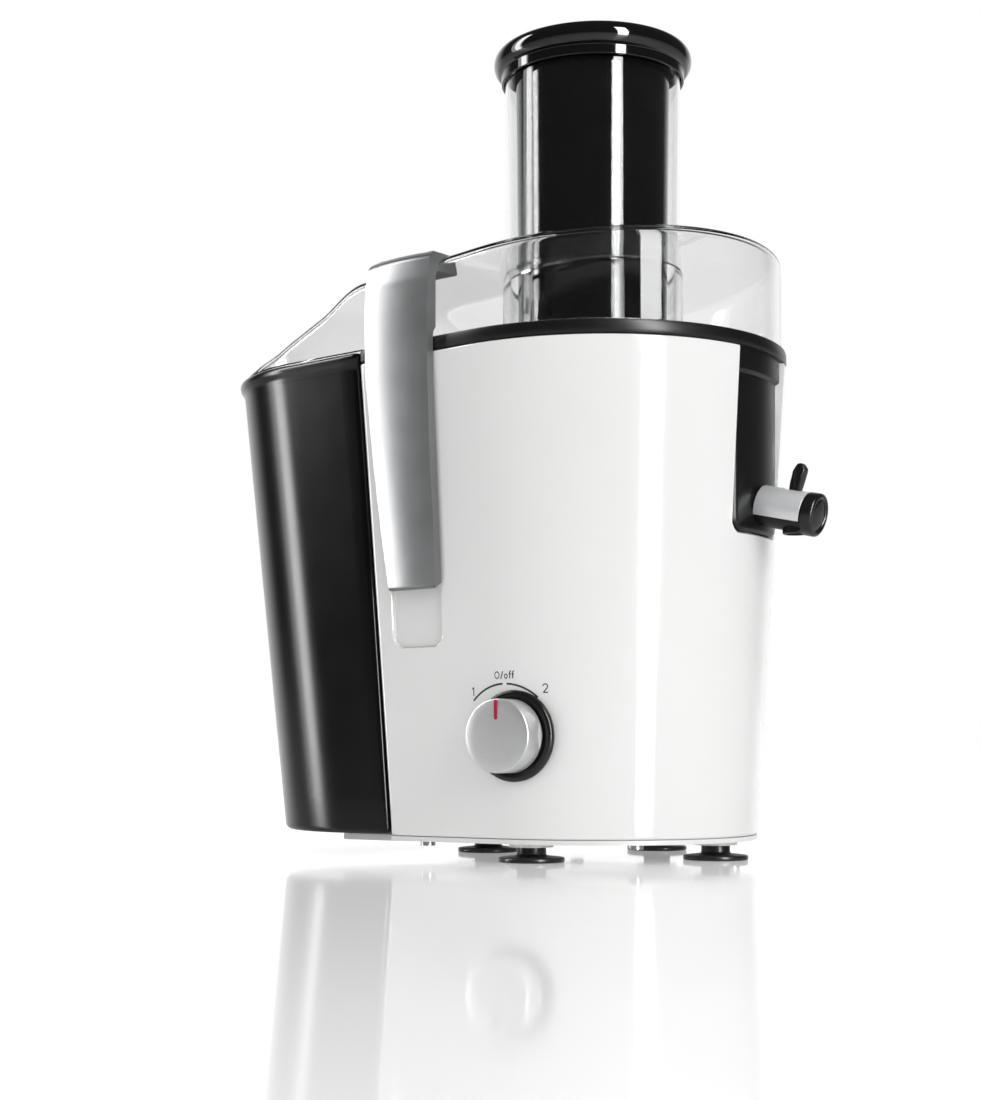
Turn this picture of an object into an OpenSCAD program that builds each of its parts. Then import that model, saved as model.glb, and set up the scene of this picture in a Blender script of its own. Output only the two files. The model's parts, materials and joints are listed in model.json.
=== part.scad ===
// Centrifugal juicer with a side pulp container, a drip-stop spout and two lid clamps.
// +Z is up, +X points out of the spout, -Y is the front with the switch knob.
// The origin is on the worktop under the middle of the whole machine.

/* [Housing] */
// Distance from the middle of the footprint to the drive axis
drive_x = 39.8; // [38:0.1:41]
// Height of the housing's lower edge above the worktop
housing_bottom = 11; // [10:0.5:14]
// Height of the housing's upper edge, where the juice bowl sits
housing_top = 240.3; // [238:0.1:242]
// Radius of the round front at the lower edge
front_r_bottom = 82; // [80:0.5:84]
// Radius of the round front at the upper edge
front_r_top = 95.6; // [94:0.2:97]
// Wall thickness of the housing
housing_wall = 3; // [2.5:0.5:4]
// Height of the inner deck that the motor hangs from
deck_z = 150; // [148:1:152]

/* [Pulp container] */
// Radius of the rounded end at the bottom
end_r_bottom = 80; // [78:0.5:81]
// Radius of the rounded end at the top
end_r_top = 78.5; // [77:0.5:80]
// Distance between the two round ends at the bottom
end_gap_bottom = 92; // [90:1:94]
// Distance between the two round ends at the top
end_gap_top = 122; // [120:1:123]
// How far the container pulls out
container_travel = 130; // [100:5:160]
// Wall thickness of the container
container_wall = 2.4; // [2:0.2:3]

/* [Lid and feed tube] */
// Height of the lid's top at the drive axis
lid_top = 287.2; // [285:0.2:289]
// Slope of the lid's top towards the pulp side, in degrees
lid_slope = 4.1; // [3:0.1:5]
// Slope of the roof over the pulp container, in degrees
roof_slope = 24; // [22:0.5:26]
// Radius of the lid's round wall
lid_r = 93.1; // [92:0.1:93.4]
// Wall thickness of the clear parts
clear_wall = 2.4; // [2:0.2:3]
// Outer radius of the feed tube
tube_r = 43.6; // [42:0.2:44]

/* [Pusher] */
// Radius of the pusher's body
pusher_r = 37.2; // [35:0.2:38]
// Height of the top of the pusher
pusher_top = 400; // [395:1:405]
// Height of the pusher's lower end when it is pushed in
pusher_foot = 196; // [194:1:200]

/* [Clamps] */
// Turn of the clamps about the vertical, so that they lie along the side walls
clamp_yaw = 6.5; // [6:0.5:7]
// Distance from the drive axis to the clamp pivot, square to the side wall
pivot_q = 92; // [91.8:0.1:92.2]
// Height of the clamp pivot
pivot_z = 131.8; // [131:0.1:132.5]

/* [Spout] */
// Downward slope of the spout, in degrees
spout_slope = 12.5; // [10:0.5:15]
// Outer radius of the metal sleeve on the spout
sleeve_r = 10; // [9.8:0.1:10.2]

/* [Switch] */
// Height of the switch knob's axis
knob_z = 59; // [57:0.5:61]
// Sideways place of the switch knob's axis
knob_x = 6; // [4:0.5:8]
// Radius of the switch knob
knob_r = 17; // [16:0.5:18]

/* [Feet] */
// Radius of a suction cup
foot_r = 15.6; // [14:0.2:16]
// Distance of each foot from the middle of the feet
foot_reach = 64.5; // [62:0.5:66]
// Sideways place of the middle of the feet
foot_middle_x = 3; // [1:0.5:4]

/* [Motor] */
// Radius of the armature
rotor_r = 22; // [20:0.5:24]
// Air gap between armature and stator
air_gap = 0.6; // [0.5:0.1:0.8]
// Radius of the motor shaft
shaft_r = 4; // [3.5:0.5:4]

/* [Hidden] */
$fn = 64;

slice = 0.01;                        // thickness of the outlines that a hull joins
seam = 0.02;                         // how far the straight sides lie inside the tangents
split_x_bottom = -67;                // where housing and container part, at the lower edge
split_x_top = -82.5;                 // and at the upper edge
container_gap = 1.2;                 // air between the housing and the container
container_bottom = 11.6;
container_top = 245.9;
plate_bottom = 8.8;                  // underside of the base plate
flange_top = 247.3;                  // top of the juice bowl's rim
lid_bottom = 247.4;
roof_start_x = -95;                  // where the lid's flat top turns into the roof
brim_top = 249.4;                    // top of the lid's thin edge over the container
bowl_floor = 162.5;
bowl_r_top = 78.8;
bowl_r_bottom = 72.5;
bowl_wall = 2.4;
hub_hole_r = 13.5;
tube_foot = 190;                     // lower end of the feed tube
tube_top = 388.4;
tube_foot_r = tube_r + 1.2;
skirt_top = 389;
panel_half_angle = 15;               // half the width of the bowl's panel behind the spout
panel_bottom = 155;
panel_r = 91.4;
spout_root_x = 80;
spout_root_z = 170.7;
tip_length = 41.7;                   // from the root of the spout to the end of its cap
outlet_x = 109;
lever_along = 27;                    // place of the drip lever along the spout
lever_up = 6.4;                      // height of its pin above the spout's axis
lever_pin_half = 5.6;
recess_u = [-53.4, -24.6];           // clamp recess along the side wall
recess_z = [102, 142];
recess_floor_q = 82.9;
arm_bottom_u = [-52.5, -22];
arm_top_u = [-62.8, -23.6];
ear_u = [-50, -31.5];                // near ends of the two ears that carry the pin
ear_w = 3.5;
hook_q = 76.8;                       // how far in the clamp's hook reaches
hook_z = 278;
notch_floor_z = 277.2;
notch_q = 75.8;
pin_r = 1.25;
gland_seat = 82.2;                   // where the cord gland's collar rests in the back wall
bezel_r = 21.2;                      // ring around the switch knob
bezel_back = -1.2;
bezel_step_r = 13.5;
bezel_rim_back = -2.8;
fit = 0.05;                          // radial clearance of a running fit
stack_z = [70, 112];                 // the motor's iron
bearing_low_z = 37;
bearing_high_z = 133;
basket_floor = 178;
basket_rim = 252;
basket_rim_r = 73.5;
bowl_lip = 2;                        // thickness of the lip that the bowl hangs by
bowl_lip_r = 81;
bowl_fit = 0.2;                      // play between the bowl and its rim
spout_bore = 7;
stub_end_x = 91;                     // where the bowl's own stub of the spout ends

function mix(a, b, t) = a + (b - a) * t;
function rise(z) = (z - housing_bottom) / (housing_top - housing_bottom);
function split_x(z) = mix(split_x_bottom, split_x_top, rise(z));
function front_r(z) = mix(front_r_bottom, front_r_top, rise(z));
function deck_top(x) = lid_top + x * tan(lid_slope);

module on_axis() { translate([drive_x, 0, 0]) children(); }

// A tube, as wide as its two radii and from z0 to z1
module tube(r_out, r_in, z0, z1) {
    translate([0, 0, z0]) difference() {
        cylinder(r = r_out, h = z1 - z0);
        translate([0, 0, -1]) cylinder(r = r_in, h = z1 - z0 + 2);
    }
}

module disc(r, z0, z1) { translate([0, 0, z0]) cylinder(r = r, h = z1 - z0); }

// A box from its lowest to its highest corner
module block(lo, hi) { translate(lo) cube(hi - lo); }

// An outline in X and Z, extruded along Y about the middle plane
module side_profile(points, depth) {
    rotate([90, 0, 0]) translate([0, 0, -depth / 2]) linear_extrude(depth) polygon(points);
}

// The outline seen from above: a large round front and a smaller round end, joined by straight
// sides that lie a hair inside the common tangents, so that they cross the circles cleanly
module oval(r_front, r_end, gap) {
    s = (r_end - r_front) / gap;
    c = sqrt(1 - s * s);
    a = r_front - seam;
    b = r_end - seam;
    circle(r_front);
    translate([-gap, 0]) circle(r_end);
    polygon([[a * s, a * c], [-gap + b * s, b * c], [-gap + b * s, -b * c], [a * s, -a * c]]);
}

// The tapering body of the machine, shrunk by inset, between two heights. It is joined in three
// stretches, because one alone would swell at the sides, which turn as they rise
module taper(inset, z0, z1) {
    stops = [z0, mix(z0, z1, 1 / 3), mix(z0, z1, 2 / 3), z1 - slice];
    for (i = [0 : 2]) hull() {
        for (z = [stops[i], stops[i + 1]]) translate([0, 0, z]) linear_extrude(slice)
            oval(front_r(z) - inset, mix(end_r_bottom, end_r_top, rise(z)) - inset,
                mix(end_gap_bottom, end_gap_top, rise(z)), $fn = 48);
    }
}

// The space on the spout side of the parting face, moved by shift
module housing_side(shift, z0, z1) {
    side_profile([[split_x(z0) + shift, z0], [140, z0], [140, z1], [split_x(z1) + shift, z1]], 260);
}

module container_side(shift, z0, z1) {
    side_profile([[split_x(z0) - shift, z0], [-240, z0], [-240, z1], [split_x(z1) - shift, z1]], 260);
}

// Puts children that are drawn for the front side wall there or, mirrored, at the back:
// X runs along the wall, -Y points straight out of it
module side_wall(side) {
    mirror([0, side == "back" ? 1 : 0, 0]) rotate([0, 0, -clamp_yaw]) children();
}

// A box on a side wall, from its ranges along the wall, outwards and up
module wall_block(u, q, z) { block([u[0], -q[1], z[0]], [u[1], -q[0], z[1]]); }

// A cylinder along a side wall
module wall_pin(u0, u1, r, q, z) {
    translate([u0, -q, z]) rotate([0, 90, 0]) cylinder(r = r, h = u1 - u0);
}

module on_spout() {
    translate([spout_root_x, 0, spout_root_z]) rotate([0, spout_slope, 0]) children();
}

module along_spout(r, l0, l1) { translate([l0, 0, 0]) rotate([0, 90, 0]) cylinder(r = r, h = l1 - l0); }

module at_knob() { translate([knob_x, -front_r(knob_z), knob_z]) rotate([90, 0, 0]) children(); }

module foot_at(side) {
    a = side == "right" ? 0 : side == "back" ? 90 : side == "left" ? 180 : 270;
    translate([foot_middle_x + foot_reach * cos(a), foot_reach * sin(a), 0]) children();
}

module clamp_ears() {
    for (u = ear_u) {
        wall_block([u, u + ear_w], [recess_floor_q - 1, pivot_q], [pivot_z - 2.2, pivot_z + 2.2]);
        wall_pin(u, u + ear_w, 2.2, pivot_q, pivot_z);
    }
}

module screw_places() {
    for (x = [-50, 52]) for (s = [-1, 1]) translate([x, s * (x < 0 ? 73 : 53), 0]) children();
}

// ---------------------------------------------------------------- casing

module housing_shell() on_axis() color("white") {
    difference() {
        intersection() {
            taper(0, housing_bottom, housing_top);
            housing_side(0, housing_bottom, housing_top);
        }
        // the cavity, less the pockets behind the clamps, the inner deck and the screw posts
        difference() {
            intersection() {
                taper(housing_wall, housing_bottom - 1, housing_top + 1);
                housing_side(housing_wall, housing_bottom - 1, housing_top + 1);
            }
            for (side = ["front", "back"]) side_wall(side)
                wall_block([recess_u[0] - 2.5, recess_u[1] + 2.5], [recess_floor_q - 2.5, 100],
                    [recess_z[0] - 2.5, recess_z[1] + 2.5]);
            disc(88, deck_z, deck_z + 3);
            screw_places() cylinder(r = 6, h = 40);
        }
        for (side = ["front", "back"]) side_wall(side)
            wall_block(recess_u, [recess_floor_q, 110], recess_z);
        // slot for the bowl's panel, open at the top, and the hole over the motor
        panel_sector(panel_half_angle + 0.6, 76, 120, panel_bottom - 0.8, housing_top + 5);
        disc(19, deck_z - 1, deck_z + 4);
        at_knob() translate([0, 0, -8]) cylinder(r = 4.2, h = 20);
        at_knob() rotate_extrude() polygon([[0, bezel_back], [bezel_step_r, bezel_back],
            [bezel_step_r, bezel_rim_back], [bezel_r, bezel_rim_back], [bezel_r, 12], [0, 12]]);
        at_gland() cylinder(r = 6, h = 110);
        at_gland() translate([0, 0, gland_seat]) cylinder(r = 8.3, h = 30);
        screw_places() translate([0, 0, 5]) cylinder(r = 1.7, h = 30);
        for (x = [-2 : 10 : 48]) translate([x, 50, 66]) cube([4, 60, 26]);
    }
    for (side = ["front", "back"]) side_wall(side) difference() {
        clamp_ears();
        wall_pin(-60, -20, pin_r, pivot_q, pivot_z);
    }
}

// A sector of a ring about the drive axis, on the spout side
module panel_sector(half_angle, r_in, r_out, z0, z1) {
    rotate([0, 0, -half_angle]) translate([0, 0, z0]) rotate_extrude(angle = 2 * half_angle)
        translate([r_in, 0]) square([r_out - r_in, z1 - z0]);
}

module base_plate() on_axis() color("gainsboro") {
    difference() {
        union() {
            translate([0, 0, plate_bottom]) linear_extrude(housing_bottom - plate_bottom) intersection() {
                oval(front_r_bottom - 0.4, end_r_bottom - 0.4, end_gap_bottom);
                translate([split_x_bottom + 0.4, -100]) square([180, 200]);
            }
            // the ledge that the pulp container stands on
            translate([0, 0, plate_bottom - 0.8]) linear_extrude(housing_bottom - plate_bottom + 0.8)
                intersection() {
                    oval(front_r_bottom - 9, end_r_bottom - 9, end_gap_bottom);
                    translate([-104, -68]) square([40, 136]);
                }
            for (side = ["front", "back", "left", "right"]) foot_at(side) disc(10.4, 7, 9);
        }
        for (side = ["front", "back", "left", "right"]) foot_at(side) {
            disc(3.5, 5, 12);
            disc(5.2, 9.8, 12);
        }
        screw_places() disc(2, 5, 12);
        for (x = [-4 : 4]) translate([x * 8 - 1.5 + foot_middle_x, -22, 5]) cube([3, 44, 10]);
    }
}

// A suction cup: rim, hollow underside, neck, and the button that snaps into the base plate
module suction_foot(side) on_axis() foot_at(side) color([0.06, 0.06, 0.07]) difference() {
    rotate_extrude() polygon([[0, 2.4], [9, 1.4], [13, 0], [foot_r, 0], [foot_r, 1.2], [12.6, 3.8],
        [7, 4.4], [7, 7], [3.4, 7], [3.4, 9.8], [5, 9.8], [4.4, 10.9], [0, 10.9]]);
}
module foot_front() suction_foot("front");
module foot_back() suction_foot("back");
module foot_left() suction_foot("left");
module foot_right() suction_foot("right");

module housing_screws() on_axis() color("silver") screw_places() difference() {
    union() {
        disc(3.6, 6.6, plate_bottom);
        disc(1.65, plate_bottom, 27);
    }
    block([-2.2, -0.4, 6], [2.2, 0.4, 7.4]);
    block([-0.4, -2.2, 6], [0.4, 2.2, 7.4]);
}

module at_gland() { translate([-30, 0, 40]) rotate([-90, 0, 0]) children(); }

module cord_gland() on_axis() at_gland() color([0.1, 0.1, 0.1]) difference() {
    union() {
        disc(5.95, 76.8, gland_seat + 2.6);
        disc(8, gland_seat, gland_seat + 2.6);
        disc(7.5, 76.8, 78.4);
    }
    disc(3.6, 70, 90);
}

// ---------------------------------------------------------------- bowl and spout

module juice_bowl() on_axis() color([0.07, 0.075, 0.075]) difference() {
    union() {
        bowl_solid();
        disc(bowl_lip_r, flange_top - bowl_lip, flange_top);
    }
    rotate_extrude() polygon([[0, bowl_floor + 13], [22, bowl_floor + 11], [31, bowl_floor + 2.4],
        [bowl_r_bottom - 6, bowl_floor + 2.4], [bowl_r_bottom - bowl_wall, bowl_floor + 5],
        [bowl_r_top - bowl_wall, housing_top + 1], [bowl_r_top - bowl_wall, flange_top + 1],
        [0, flange_top + 1]]);
    disc(hub_hole_r, 150, 200);
    on_spout() along_spout(spout_bore, -12, 30);
}

// The bowl's rim and its panel, in which the bowl hangs by its lip
module spout_panel() on_axis() color([0.07, 0.075, 0.075]) difference() {
    union() {
        translate([0, 0, housing_top + 0.1]) linear_extrude(flange_top - housing_top - 0.1)
            intersection() {
                oval(front_r_top, end_r_top, end_gap_top);
                translate([split_x_top, -120]) square([240, 240]);
            }
        intersection() {
            on_spout() along_spout(sleeve_r - 0.6, -8, 14);
            translate([60, -20, 140]) cube([stub_end_x - 60, 40, 60]);
        }
        panel_sector(panel_half_angle, 86, panel_r, panel_bottom, housing_top + 1);
        panel_sector(panel_half_angle, 86, 94.2, 228.5, housing_top + 1);
    }
    rotate_extrude() polygon([[0, panel_bottom], [bowl_r_bottom + bowl_fit, panel_bottom],
        [bowl_r_bottom + bowl_fit, bowl_floor + 4], [bowl_r_top + bowl_fit, housing_top + 0.5],
        [bowl_r_top + bowl_fit, flange_top + 1], [0, flange_top + 1]]);
    disc(bowl_lip_r + bowl_fit, flange_top - bowl_lip - bowl_fit, flange_top + 1);
    on_spout() along_spout(spout_bore, -12, 30);
}

module bowl_solid() {
    rotate_extrude() polygon([[hub_hole_r - 1, bowl_floor + 10], [22, bowl_floor + 9], [30, bowl_floor],
        [bowl_r_bottom - 5, bowl_floor], [bowl_r_bottom, bowl_floor + 4], [bowl_r_top, housing_top + 0.5],
        [bowl_r_top, flange_top], [bowl_r_top - 20, flange_top], [hub_hole_r - 1, bowl_floor + 16]]);
}

module outlet(r) { translate([outlet_x, 0, 153.7]) cylinder(r = r, h = 8); }

module lever_slot(w) { translate([lever_along - 6, -w / 2, 3]) cube([10, w, 12]); }

module juice_spout() on_axis() color([0.07, 0.07, 0.08]) difference() {
    union() {
        intersection() {
            on_spout() along_spout(sleeve_r - 0.6, 0, 35.4);
            translate([panel_r, -20, 130]) cube([60, 40, 60]);
        }
        outlet(6.4);
    }
    on_spout() along_spout(spout_bore, -2, 36);
    outlet(4.8);
    on_spout() lever_slot(6.4);
    on_spout() translate([lever_along, 0, lever_up]) rotate([90, 0, 0])
        translate([0, 0, -lever_pin_half]) cylinder(r = 1, h = 2 * lever_pin_half);
    on_spout() along_spout(sleeve_r + 2, 35.5, 50);
}

// The bright sleeve wraps the top and the sides of the spout, open underneath
module spout_sleeve() on_axis() color("silver") on_spout() difference() {
    rotate([0, 90, 0]) rotate([0, 0, 62]) translate([0, 0, 13]) rotate_extrude(angle = 236)
        translate([sleeve_r - 0.55, 0]) square([0.55, 22.2]);
    lever_slot(6.4);
}

module spout_cap() on_axis() color([0.07, 0.07, 0.08]) on_spout() rotate([0, 90, 0]) rotate_extrude()
    polygon([[0, 35.6], [sleeve_r + 0.2, 35.6], [sleeve_r + 0.2, tip_length - 1.2],
        [sleeve_r - 1, tip_length], [sleeve_r - 2.4, tip_length], [sleeve_r - 2.6, tip_length - 0.5],
        [0, tip_length - 0.5]]);

// ---------------------------------------------------------------- lid, tube and pusher

// The lid's solid outline, shrunk by inset on the sides and lowered by drop on top
module lid_solid(inset, drop, z0) {
    roof_z = deck_top(roof_start_x);
    brim_x = roof_start_x - (roof_z - brim_top) / tan(roof_slope);
    intersection() {
        translate([0, 0, z0]) linear_extrude(60)
            oval(lid_r - inset, end_r_top - 1.4 - inset, end_gap_top);
        side_profile([[130, z0], [130, deck_top(130) - drop], [roof_start_x, roof_z - drop],
            [brim_x, brim_top - drop * 0.5], [-220, brim_top - drop * 0.5], [-220, z0]], 260);
    }
}

module lid_notch(grow) {
    for (side = ["front", "back"]) side_wall(side)
        wall_block([arm_top_u[0] - 0.8 - grow, arm_top_u[1] + 0.8 + grow], [notch_q - grow, 110],
            [notch_floor_z - grow, 300]);
}

module lid() on_axis() color([0.85, 0.88, 0.9, 0.35]) difference() {
    lid_solid(0, 0, lid_bottom);
    difference() {
        lid_solid(clear_wall, clear_wall, lid_bottom - 5);
        lid_notch(clear_wall);
    }
    lid_notch(0);
    disc(tube_foot_r + 0.05, 200, 300);
}

module feed_tube() on_axis() color([0.85, 0.88, 0.9, 0.35]) {
    rotate_extrude() polygon([[tube_r - 2.6, tube_foot], [tube_foot_r, tube_foot],
        [tube_foot_r, lid_top + 2], [tube_r, lid_top + 5], [tube_r, tube_top], [tube_r - 2.6, tube_top]]);
}

// An open-topped cup with a wide rounded flange, a skirt over the tube and a guiding foot
module pusher() on_axis() color([0.04, 0.04, 0.045]) rotate_extrude()
    polygon(concat([[0, pusher_foot], [tube_r - 3.6, pusher_foot], [tube_r - 3.6, pusher_foot + 9],
        [pusher_r, pusher_foot + 14], [pusher_r, skirt_top], [tube_r + 0.5, skirt_top],
        [tube_r + 0.5, skirt_top - 4.4], [tube_r + 1.8, skirt_top - 4.4], [tube_r + 1.8, skirt_top],
        [46, skirt_top]],
        [for (a = [-70 : 20 : 110]) [44.6 + 4.6 * cos(a), pusher_top - 5.6 + 5.6 * sin(a)]],
        [[pusher_r - 3, pusher_top - 3], [pusher_r - 3, pusher_foot + 6], [0, pusher_foot + 3]]));

// ---------------------------------------------------------------- pulp container and clamps

module pulp_container() on_axis() color([0.09, 0.1, 0.1]) difference() {
    union() {
        intersection() {
            taper(0, container_bottom, container_top);
            container_side(container_gap, container_bottom, container_top);
        }
        translate([0, 0, container_top - 3.6]) linear_extrude(3.6) intersection() {
            oval(front_r_top + 0.8, end_r_top + 1.6, end_gap_top);
            translate([-240, -120]) square([240 + split_x_top - container_gap, 240]);
        }
    }
    intersection() {
        taper(container_wall, container_bottom - 3, container_top + 2);
        container_side(container_gap + container_wall, container_bottom + 3, container_top + 2);
    }
}

module clamp(side) on_axis() side_wall(side) color([0.7, 0.7, 0.7]) difference() {
    union() {
        intersection() {
            // side view, extruded along the wall
            rotate([0, -90, 0]) rotate([0, 0, -90]) translate([0, 0, 20]) linear_extrude(48)
                polygon([[94.2, 128.5], [95.8, 129.6], [99.6, 190], [101, 230], [101.4, 258],
                    [100.6, 276], [98.2, 286.4], [96.4, 287.6], [hook_q, 287.6], [hook_q, hook_z],
                    [93.6, hook_z], [93.6, 250.5], [95.6, 249], [95.6, 226], [91.4, 143],
                    [91, 131.4]]);
            // front view
            rotate([90, 0, 0]) linear_extrude(120)
                polygon([[arm_bottom_u[0], 125], [arm_bottom_u[1], 125], [arm_top_u[1], 230],
                    [arm_top_u[1], 300], [arm_top_u[0], 300], [arm_top_u[0], 235]]);
        }
        wall_pin(ear_u[0] + ear_w + 0.5, ear_u[1] - 0.5, 2.9, pivot_q, pivot_z);
    }
    for (u = ear_u) wall_block([u - 0.4, u + ear_w + 0.4], [80, pivot_q + 2.6], [120, pivot_z + 5]);
    wall_pin(-60, -20, pin_r + fit, pivot_q, pivot_z);
}
module clamp_front() clamp("front");
module clamp_back() clamp("back");

module clamp_pin(side) on_axis() side_wall(side) color("silver")
    wall_pin(ear_u[0], ear_u[1] + ear_w, pin_r, pivot_q, pivot_z);
module clamp_pin_front() clamp_pin("front");
module clamp_pin_back() clamp_pin("back");

// ---------------------------------------------------------------- switch

module knob_bezel() on_axis() color([0.05, 0.05, 0.05]) at_knob() rotate_extrude()
    polygon([[4.2, bezel_back], [bezel_step_r, bezel_back], [bezel_step_r, bezel_rim_back],
        [bezel_r, bezel_rim_back], [bezel_r, 1.6], [bezel_r - 1.4, 2.6], [4.2, 2.6]]);

module switch_knob() on_axis() color("silver") at_knob() difference() {
    rotate_extrude() polygon([[0, 3.2], [knob_r, 3.2], [knob_r, 14.6], [knob_r - 1, 15.8],
        [8, 16.5], [0, 16.7]]);
    translate([0, 0, -5]) cylinder(r = 3, h = 16);
    translate([-0.9, 7, 15]) cube([1.8, 12, 3]);
}

module knob_pointer() on_axis() color("crimson") at_knob() translate([-0.9, 7, 15]) cube([1.8, 8.6, 1.2]);

module switch_spindle() on_axis() color("dimgray") at_knob() translate([0, 0, -20]) cylinder(r = 3, h = 31);

module rotary_switch() on_axis() color("ivory") at_knob() difference() {
    union() {
        block([-13, -13, -28], [13, 13, -9]);
        tube(6.5, 3.05, -9.5, -4.5);
        for (x = [-9, 0, 9]) block([x - 1.5, -17, -25], [x + 1.5, -12.9, -24]);
    }
    translate([0, 0, -22]) cylinder(r = 3.05, h = 30);
}

module control_board() on_axis() color("darkgreen") {
    block([-58, -30, 30], [-56.4, 30, 84]);
    block([-56.4, -22, 36], [-46, -2, 50]);
    block([-56.4, -24, 60], [-50, -10, 76]);
    translate([-56.4, 14, 44]) rotate([0, 90, 0]) cylinder(r = 7, h = 9);
    translate([-56.4, 14, 66]) rotate([0, 90, 0]) cylinder(r = 5, h = 8);
}

module interlock_switches() on_axis() color([0.12, 0.12, 0.12])
    for (side = ["front", "back"]) side_wall(side) {
        wall_block([-49, -29], [70, recess_floor_q - 2.6], [108, 119]);
        wall_block([-45, -43], [64, 70.1], [110, 112]);
        wall_block([-35, -33], [64, 70.1], [110, 112]);
    }

// ---------------------------------------------------------------- motor

winding_r = [25.4, 32];
winding_angle = 96;

// One closed field coil: two arcs above and below the iron, joined by the sides
module field_coil() {
    for (z = [[stack_z[0] - 9, stack_z[0] - 1], [stack_z[1] + 1, stack_z[1] + 9]])
        rotate([0, 0, -winding_angle / 2]) translate([0, 0, z[0]]) rotate_extrude(angle = winding_angle)
            translate([winding_r[0], 0]) square([winding_r[1] - winding_r[0], z[1] - z[0]]);
    for (a = [-winding_angle / 2 + 0.5, winding_angle / 2 - 12.5])
        rotate([0, 0, a]) translate([0, 0, stack_z[0] - 3]) rotate_extrude(angle = 12)
            translate([winding_r[0] + 0.5, 0])
                square([winding_r[1] - winding_r[0] - 1, stack_z[1] - stack_z[0] + 6]);
}

module field_windings() on_axis() color("peru") for (a = [0, 180]) rotate([0, 0, a]) field_coil();

module motor_stator() on_axis() color("slategray") difference() {
    intersection() {
        block([-43, -36, stack_z[0]], [43, 36, stack_z[1]]);
        disc(50, stack_z[0], stack_z[1]);
    }
    disc(rotor_r + air_gap, 50, 130);
    for (b = [0, 180]) for (a = [-winding_angle / 2 - 1.5, winding_angle / 2 - 13.5])
        rotate([0, 0, a + b]) translate([0, 0, 60]) rotate_extrude(angle = 15)
            translate([rotor_r - 1, 0]) square([winding_r[1] + 0.6 - rotor_r + 1, 60]);
    motor_screw_places() disc(2.2, 50, 130);
}

module motor_screw_places() for (x = [-37, 37]) translate([x, 0, 0]) children();

module bracket(z0, seat_z) {
    difference() {
        union() {
            intersection() {
                block([-43, -13, z0], [43, 13, z0 + 4]);
                disc(50, z0, z0 + 4);
            }
            block([-6, -31, z0], [6, 31, z0 + 4]);
            disc(14.5, seat_z - 1, seat_z + 7);
        }
        disc(11, seat_z, seat_z + 10);
        disc(5, seat_z - 5, seat_z + 12);
        motor_screw_places() disc(2.2, z0 - 1, z0 + 5);
    }
}

module lower_bracket() on_axis() color("lightsteelblue") {
    bracket(bearing_low_z + 2, bearing_low_z);
    for (x = [-37, 37]) translate([x, 0, 0]) tube(4.5, 2.2, bearing_low_z + 6, stack_z[0]);
}

module upper_bracket() on_axis() color("lightsteelblue") {
    bracket(bearing_high_z + 1, bearing_high_z);
    for (x = [-37, 37]) translate([x, 0, 0]) tube(4.5, 2.2, stack_z[1], bearing_high_z + 1);
    for (x = [-30, 30]) for (y = [-20, 20]) block([x - 5, min(y, 12.9 * sign(y)) - 5 * (y < 0 ? 1 : 0),
        bearing_high_z + 1], [x + 5, max(y, 12.9 * sign(y)) + 5 * (y > 0 ? 1 : 0), bearing_high_z + 5]);
}

module bearing(z) {
    difference() {
        disc(11, z, z + 7);
        disc(shaft_r + fit, z - 1, z + 8);
        tube(9.4, 5.8, z - 1, z + 0.6);
        tube(9.4, 5.8, z + 6.4, z + 8);
    }
}
module lower_bearing() on_axis() color("lightgray") bearing(bearing_low_z);
module upper_bearing() on_axis() color("lightgray") bearing(bearing_high_z);

module brush_holders() on_axis() color("saddlebrown") for (a = [90, 270]) rotate([0, 0, a]) difference() {
    block([15, -5.5, bearing_low_z + 6], [31, 5.5, 60]);
    block([14, -3.2, 50], [29, 3.2, 57]);
}

module carbon_brushes() on_axis() color([0.15, 0.15, 0.16])
for (a = [90, 270]) rotate([0, 0, a]) difference() {
    block([11.8, -3.1, 50.1], [24, 3.1, 56.9]);
    disc(12.3, 40, 70);
}

module motor_screws() on_axis() color("silver") motor_screw_places() {
    disc(2, bearing_low_z + 1.6, bearing_high_z + 5);
    disc(3.8, bearing_low_z - 0.8, bearing_low_z + 2);
}

module motor_dampers() on_axis() color([0.1, 0.1, 0.1]) for (x = [-30, 30]) for (y = [-20, 20])
    translate([x, y, 0]) {
        disc(5, bearing_high_z + 5, deck_z);
        disc(6.5, bearing_high_z + 7.5, deck_z - 2.5);
    }

module shaft_seal() on_axis() color([0.15, 0.15, 0.15]) rotate_extrude()
    polygon([[shaft_r + 0.3, deck_z - 1], [19.8, deck_z - 3], [22, deck_z - 0.1], [19, deck_z - 0.1],
        [18.9, deck_z + 3], [22, deck_z + 3.1], [20, deck_z + 5], [shaft_r + 0.3, deck_z + 3]]);

module motor_shaft() on_axis() color("silver") {
    disc(shaft_r, bearing_low_z - 5, 175);
}

module armature() on_axis() color("slategray") difference() {
    disc(rotor_r, stack_z[0], stack_z[1]);
    disc(shaft_r, 60, 120);
    for (a = [0 : 30 : 330]) rotate([0, 0, a + 15]) {
        block([16, -1.6, 60], [24, 1.6, 120]);
    }
}

module armature_windings() on_axis() color("peru") {
    for (a = [0 : 30 : 330]) rotate([0, 0, a + 15])
        block([16.1, -1.5, stack_z[0] - 1], [21.2, 1.5, stack_z[1] + 1]);
    tube(21.2, shaft_r + 1, stack_z[0] - 7, stack_z[0] - 0.5);
    tube(21.2, shaft_r + 1, stack_z[1] + 0.5, stack_z[1] + 6);
}

module commutator() on_axis() color("darkgoldenrod") difference() {
    disc(12, bearing_low_z + 9, 61);
    disc(shaft_r, 40, 70);
    for (a = [0 : 15 : 345]) rotate([0, 0, a]) block([10.6, -0.25, 40], [13, 0.25, 70]);
}

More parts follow.
